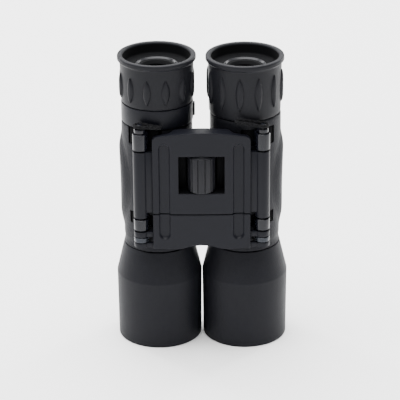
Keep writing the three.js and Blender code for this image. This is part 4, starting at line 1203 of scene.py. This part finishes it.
def eyepiece(side):
    body = EYE_BODY[side]
    node = f"eye_lens_{side}"
    z0, z1 = span(node)
    domed_lens(
        f"eye_glass_{side}", EYE_LENS_RADIUS, z0, z1 - 1.6, 1.1, 2.15, AXIS[side], body, node,
        flat=3.3)
    node = f"eye_retainer_{side}"
    bottom, top = span(node)
    corners = [
        (6.5, bottom + 1.2, 0.15), (7.1, bottom, 0.1), (EYE_LENS_RADIUS, bottom, 0.1),
        (EYE_LENS_RADIUS, top, 0.15), (9.4, top, 0.1), (8.7, top - 0.7, 0.1), (7.6, top - 1.0, 0.2)]
    ring = turned_piece(f"eye_ring_{side}", corners, AXIS[side], BLACK_ALLOY)
    # Painted shade: the ring's inner funnel takes the near-black finish to damp its highlight, so only
    # the outer edge keeps the alloy finish.
    paint_shade_inside(ring, FLAT_BLACK_AND_PAINTED_SHADE, lambda at, normal: (at.to_2d() - AXIS[side]).length < 8.9)
    settle(ring, body, "black_metal", node)
    node = f"ocular_tube_{side}"
    tube_bottom, tube_top = span(node)
    shelf = tube_top - 7.2
    corners = [
        (OCULAR_BORE, tube_bottom, 0.1), (SPIGOT_RADIUS, tube_bottom, 0.2),
        (SPIGOT_RADIUS, tube_top, 0.2),
        (EYE_BORE, tube_top, 0.1), (EYE_BORE, shelf, 0), (SHELF_BORE, shelf, 0.1),
        (SHELF_BORE, shelf - 1.2, 0.1), (OCULAR_BORE, shelf - 2.5, 0)]
    tube = turned_piece(f"eye_tube_{side}", corners, AXIS[side], FLAT_BLACK_AND_PAINTED_SHADE)
    return settle(tube, body, "black_metal", node)


def dioptre_ring():
    node = "dioptre_ring"
    z0, z1 = span(node)
    about = AXIS["right"]
    corners = ring_corners(CUP_BORE, DIOPTRE_RADIUS, z0, z1, 0, 0.35)
    ring = turned(filleted(corners), 192, about)
    tab = moved(block(15.8, 17.55, -1.6, 1.6, z0 + 1.2, z1 - 1.4, 0.6, 4), by=(*about, 0))
    made = mesh_object("dioptre_setting_ring", joined(ring, tab), PLATE_PAINT)
    return settle(made, "dioptre_ring", "satin_cover", node)


for side in SIDES:
    eyepiece(side)
print(dioptre_ring().name)

# %% [markdown]
# ## Strap loops
# A thin braided loop is hooked over each pin's stud and lies back behind the bridge. A braid is two
# families of strands that wind opposite ways, so the node tree sweeps a round tube along the loop and
# lifts it wherever a strand passes: the larger of two opposed sine waves in turn and length.

# %% Build the braid tree
CORD_RADIUS, STRAND_LIFT, STRANDS, STRAND_PITCH = 0.9, 0.21, 4.0, 2.8
LOOP = {
    "left": [
        (-2.5, 0.0, 1.0), (-1.6, 1.8, 1.0), (0.4, 2.2, 1.1), (3.2, 1.2, 1.9), (6.6, 0.1, 3.0),
        (10.2, -0.4, 3.6), (12.4, -1.0, 3.4), (12.2, -2.6, 3.1), (9.6, -2.6, 2.9), (6.2, -2.2, 2.2),
        (3.0, -2.1, 1.4), (0.4, -2.4, 1.1), (-1.8, -1.8, 1.0),
    ],
    "right": [
        (-2.5, 0.0, 1.0), (-1.6, 1.8, 1.0), (0.4, 2.1, 1.0), (3.0, 1.3, 0.9), (5.8, 0.4, 0.5),
        (8.4, 0.1, 0.2), (9.8, -0.7, 0.1), (8.8, -1.8, 0.3), (6.0, -1.9, 0.6), (3.0, -2.0, 0.9),
        (0.4, -2.4, 1.0), (-1.8, -1.8, 1.0),
    ],
}


def build_braid_tree():
    tree, given, result = geometry_tree("braided_loop", [
        ("Path", "NodeSocketObject"), ("Radius", "NodeSocketFloat"), ("Lift", "NodeSocketFloat"),
        ("Strands", "NodeSocketFloat"), ("Pitch", "NodeSocketFloat"), ("Material", "NodeSocketMaterial")])
    source = tree.nodes.new("GeometryNodeObjectInfo")
    even = tree.nodes.new("GeometryNodeResampleCurve")
    even.mode = "COUNT"
    even.inputs["Count"].default_value = 420
    along = tree.nodes.new("GeometryNodeCaptureAttribute")
    along.capture_items.new("FLOAT", "Length")
    round_wire = tree.nodes.new("GeometryNodeCurvePrimitiveCircle")
    round_wire.inputs["Resolution"].default_value = 24
    across = tree.nodes.new("GeometryNodeCaptureAttribute")
    across.capture_items.new("FLOAT", "Turn")
    length = tree.nodes.new("GeometryNodeSplineParameter")
    factor = tree.nodes.new("GeometryNodeSplineParameter")
    sweep = tree.nodes.new("GeometryNodeCurveToMesh")
    wire(given, "Path", source, "Object")
    wire(source, "Geometry", even, "Curve")
    wire(even, "Curve", along, "Geometry")
    wire(length, "Length", along, "Length")
    wire(given, "Radius", round_wire, "Radius")
    wire(round_wire, "Curve", across, "Geometry")
    wire(factor, "Factor", across, "Turn")
    wire(along, "Geometry", sweep, "Curve")
    wire(across, "Geometry", sweep, "Profile Curve")
    wound = maths(tree, "MULTIPLY", across.outputs["Turn"], given.outputs["Strands"])
    wound = maths(tree, "MULTIPLY", wound, 2 * math.pi)
    run = maths(tree, "DIVIDE", along.outputs["Length"], given.outputs["Pitch"])
    run = maths(tree, "MULTIPLY", run, 2 * math.pi)
    one_way = maths(tree, "SINE", maths(tree, "ADD", wound, run))
    other_way = maths(tree, "SINE", maths(tree, "SUBTRACT", wound, run))
    lift = maths(tree, "MULTIPLY", maths(tree, "MAXIMUM", one_way, other_way), given.outputs["Lift"])
    normal = tree.nodes.new("GeometryNodeInputNormal")
    shift = tree.nodes.new("ShaderNodeVectorMath")
    shift.operation = "SCALE"
    wire(normal, "Normal", shift, 0)
    tree.links.new(lift, shift.inputs["Scale"])
    place = tree.nodes.new("GeometryNodeSetPosition")
    wire(sweep, "Mesh", place, "Geometry")
    wire(shift, "Vector", place, "Offset")
    end_as_mesh(place, "Geometry", given, result)
    return tree


BRAID = build_braid_tree()


def strap_loop(side):
    head_z = high(f"hinge_pin_{side}").z - STUD_HEIGHT
    sign = SIDES[side]
    points = [
        Vector((sign * (abs(PIN[side].x) - inward), PIN[side].y + rear, head_z + 0.3 + up)) * MM
        for inward, rear, up in LOOP[side]
    ]
    data = bpy.data.curves.new("loop_path", "CURVE")
    data.dimensions = "3D"
    spline = data.splines.new("NURBS")
    spline.points.add(len(points) - 1)
    for point, place in zip(spline.points, points):
        point.co = (*place, 1)
    spline.order_u = 4
    spline.use_cyclic_u = True
    path = in_scene("loop_path", data)
    made = grow(f"braided_loop_{side}", BRAID, {
        "Path": path, "Radius": (CORD_RADIUS - 0.22) * MM, "Lift": STRAND_LIFT * MM,
        "Strands": STRANDS, "Pitch": STRAND_PITCH * MM, "Material": CORD})
    bpy.data.objects.remove(path)
    made.data.polygons.foreach_set("use_smooth", [True] * len(made.data.polygons))
    return settle(made, "bridge", "cord", f"strap_loop_{side}")


for side in SIDES:
    made = strap_loop(side)
    print(made.name, len(made.data.polygons), "faces")

# %% [markdown]
# ## Pieces kept from the measured model
# The prisms, field lenses, stops, cages, spindle and nut are simple shapes that need nothing finer.
# They only take their finishes, given through their material slots.

# %% Paint the kept nodes
KEPT = {"focus_spindle": STEEL, "focus_nut": BRASS}
for side in SIDES:
    KEPT[f"prism_cage_{side}"] = FLAT_BLACK_AND_PAINTED_SHADE
    KEPT[f"field_stop_{side}"] = FLAT_BLACK_AND_PAINTED_SHADE
    KEPT[f"half_penta_prism_{side}"] = PRISM_GLASS
    KEPT[f"roof_prism_{side}"] = PRISM_GLASS
    KEPT[f"field_lens_{side}"] = GLASS
for node, material in KEPT.items():
    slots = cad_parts[node].data.materials
    if len(slots):
        slots[0] = material
    else:
        slots.append(material)
print("painted", len(KEPT), "kept nodes")
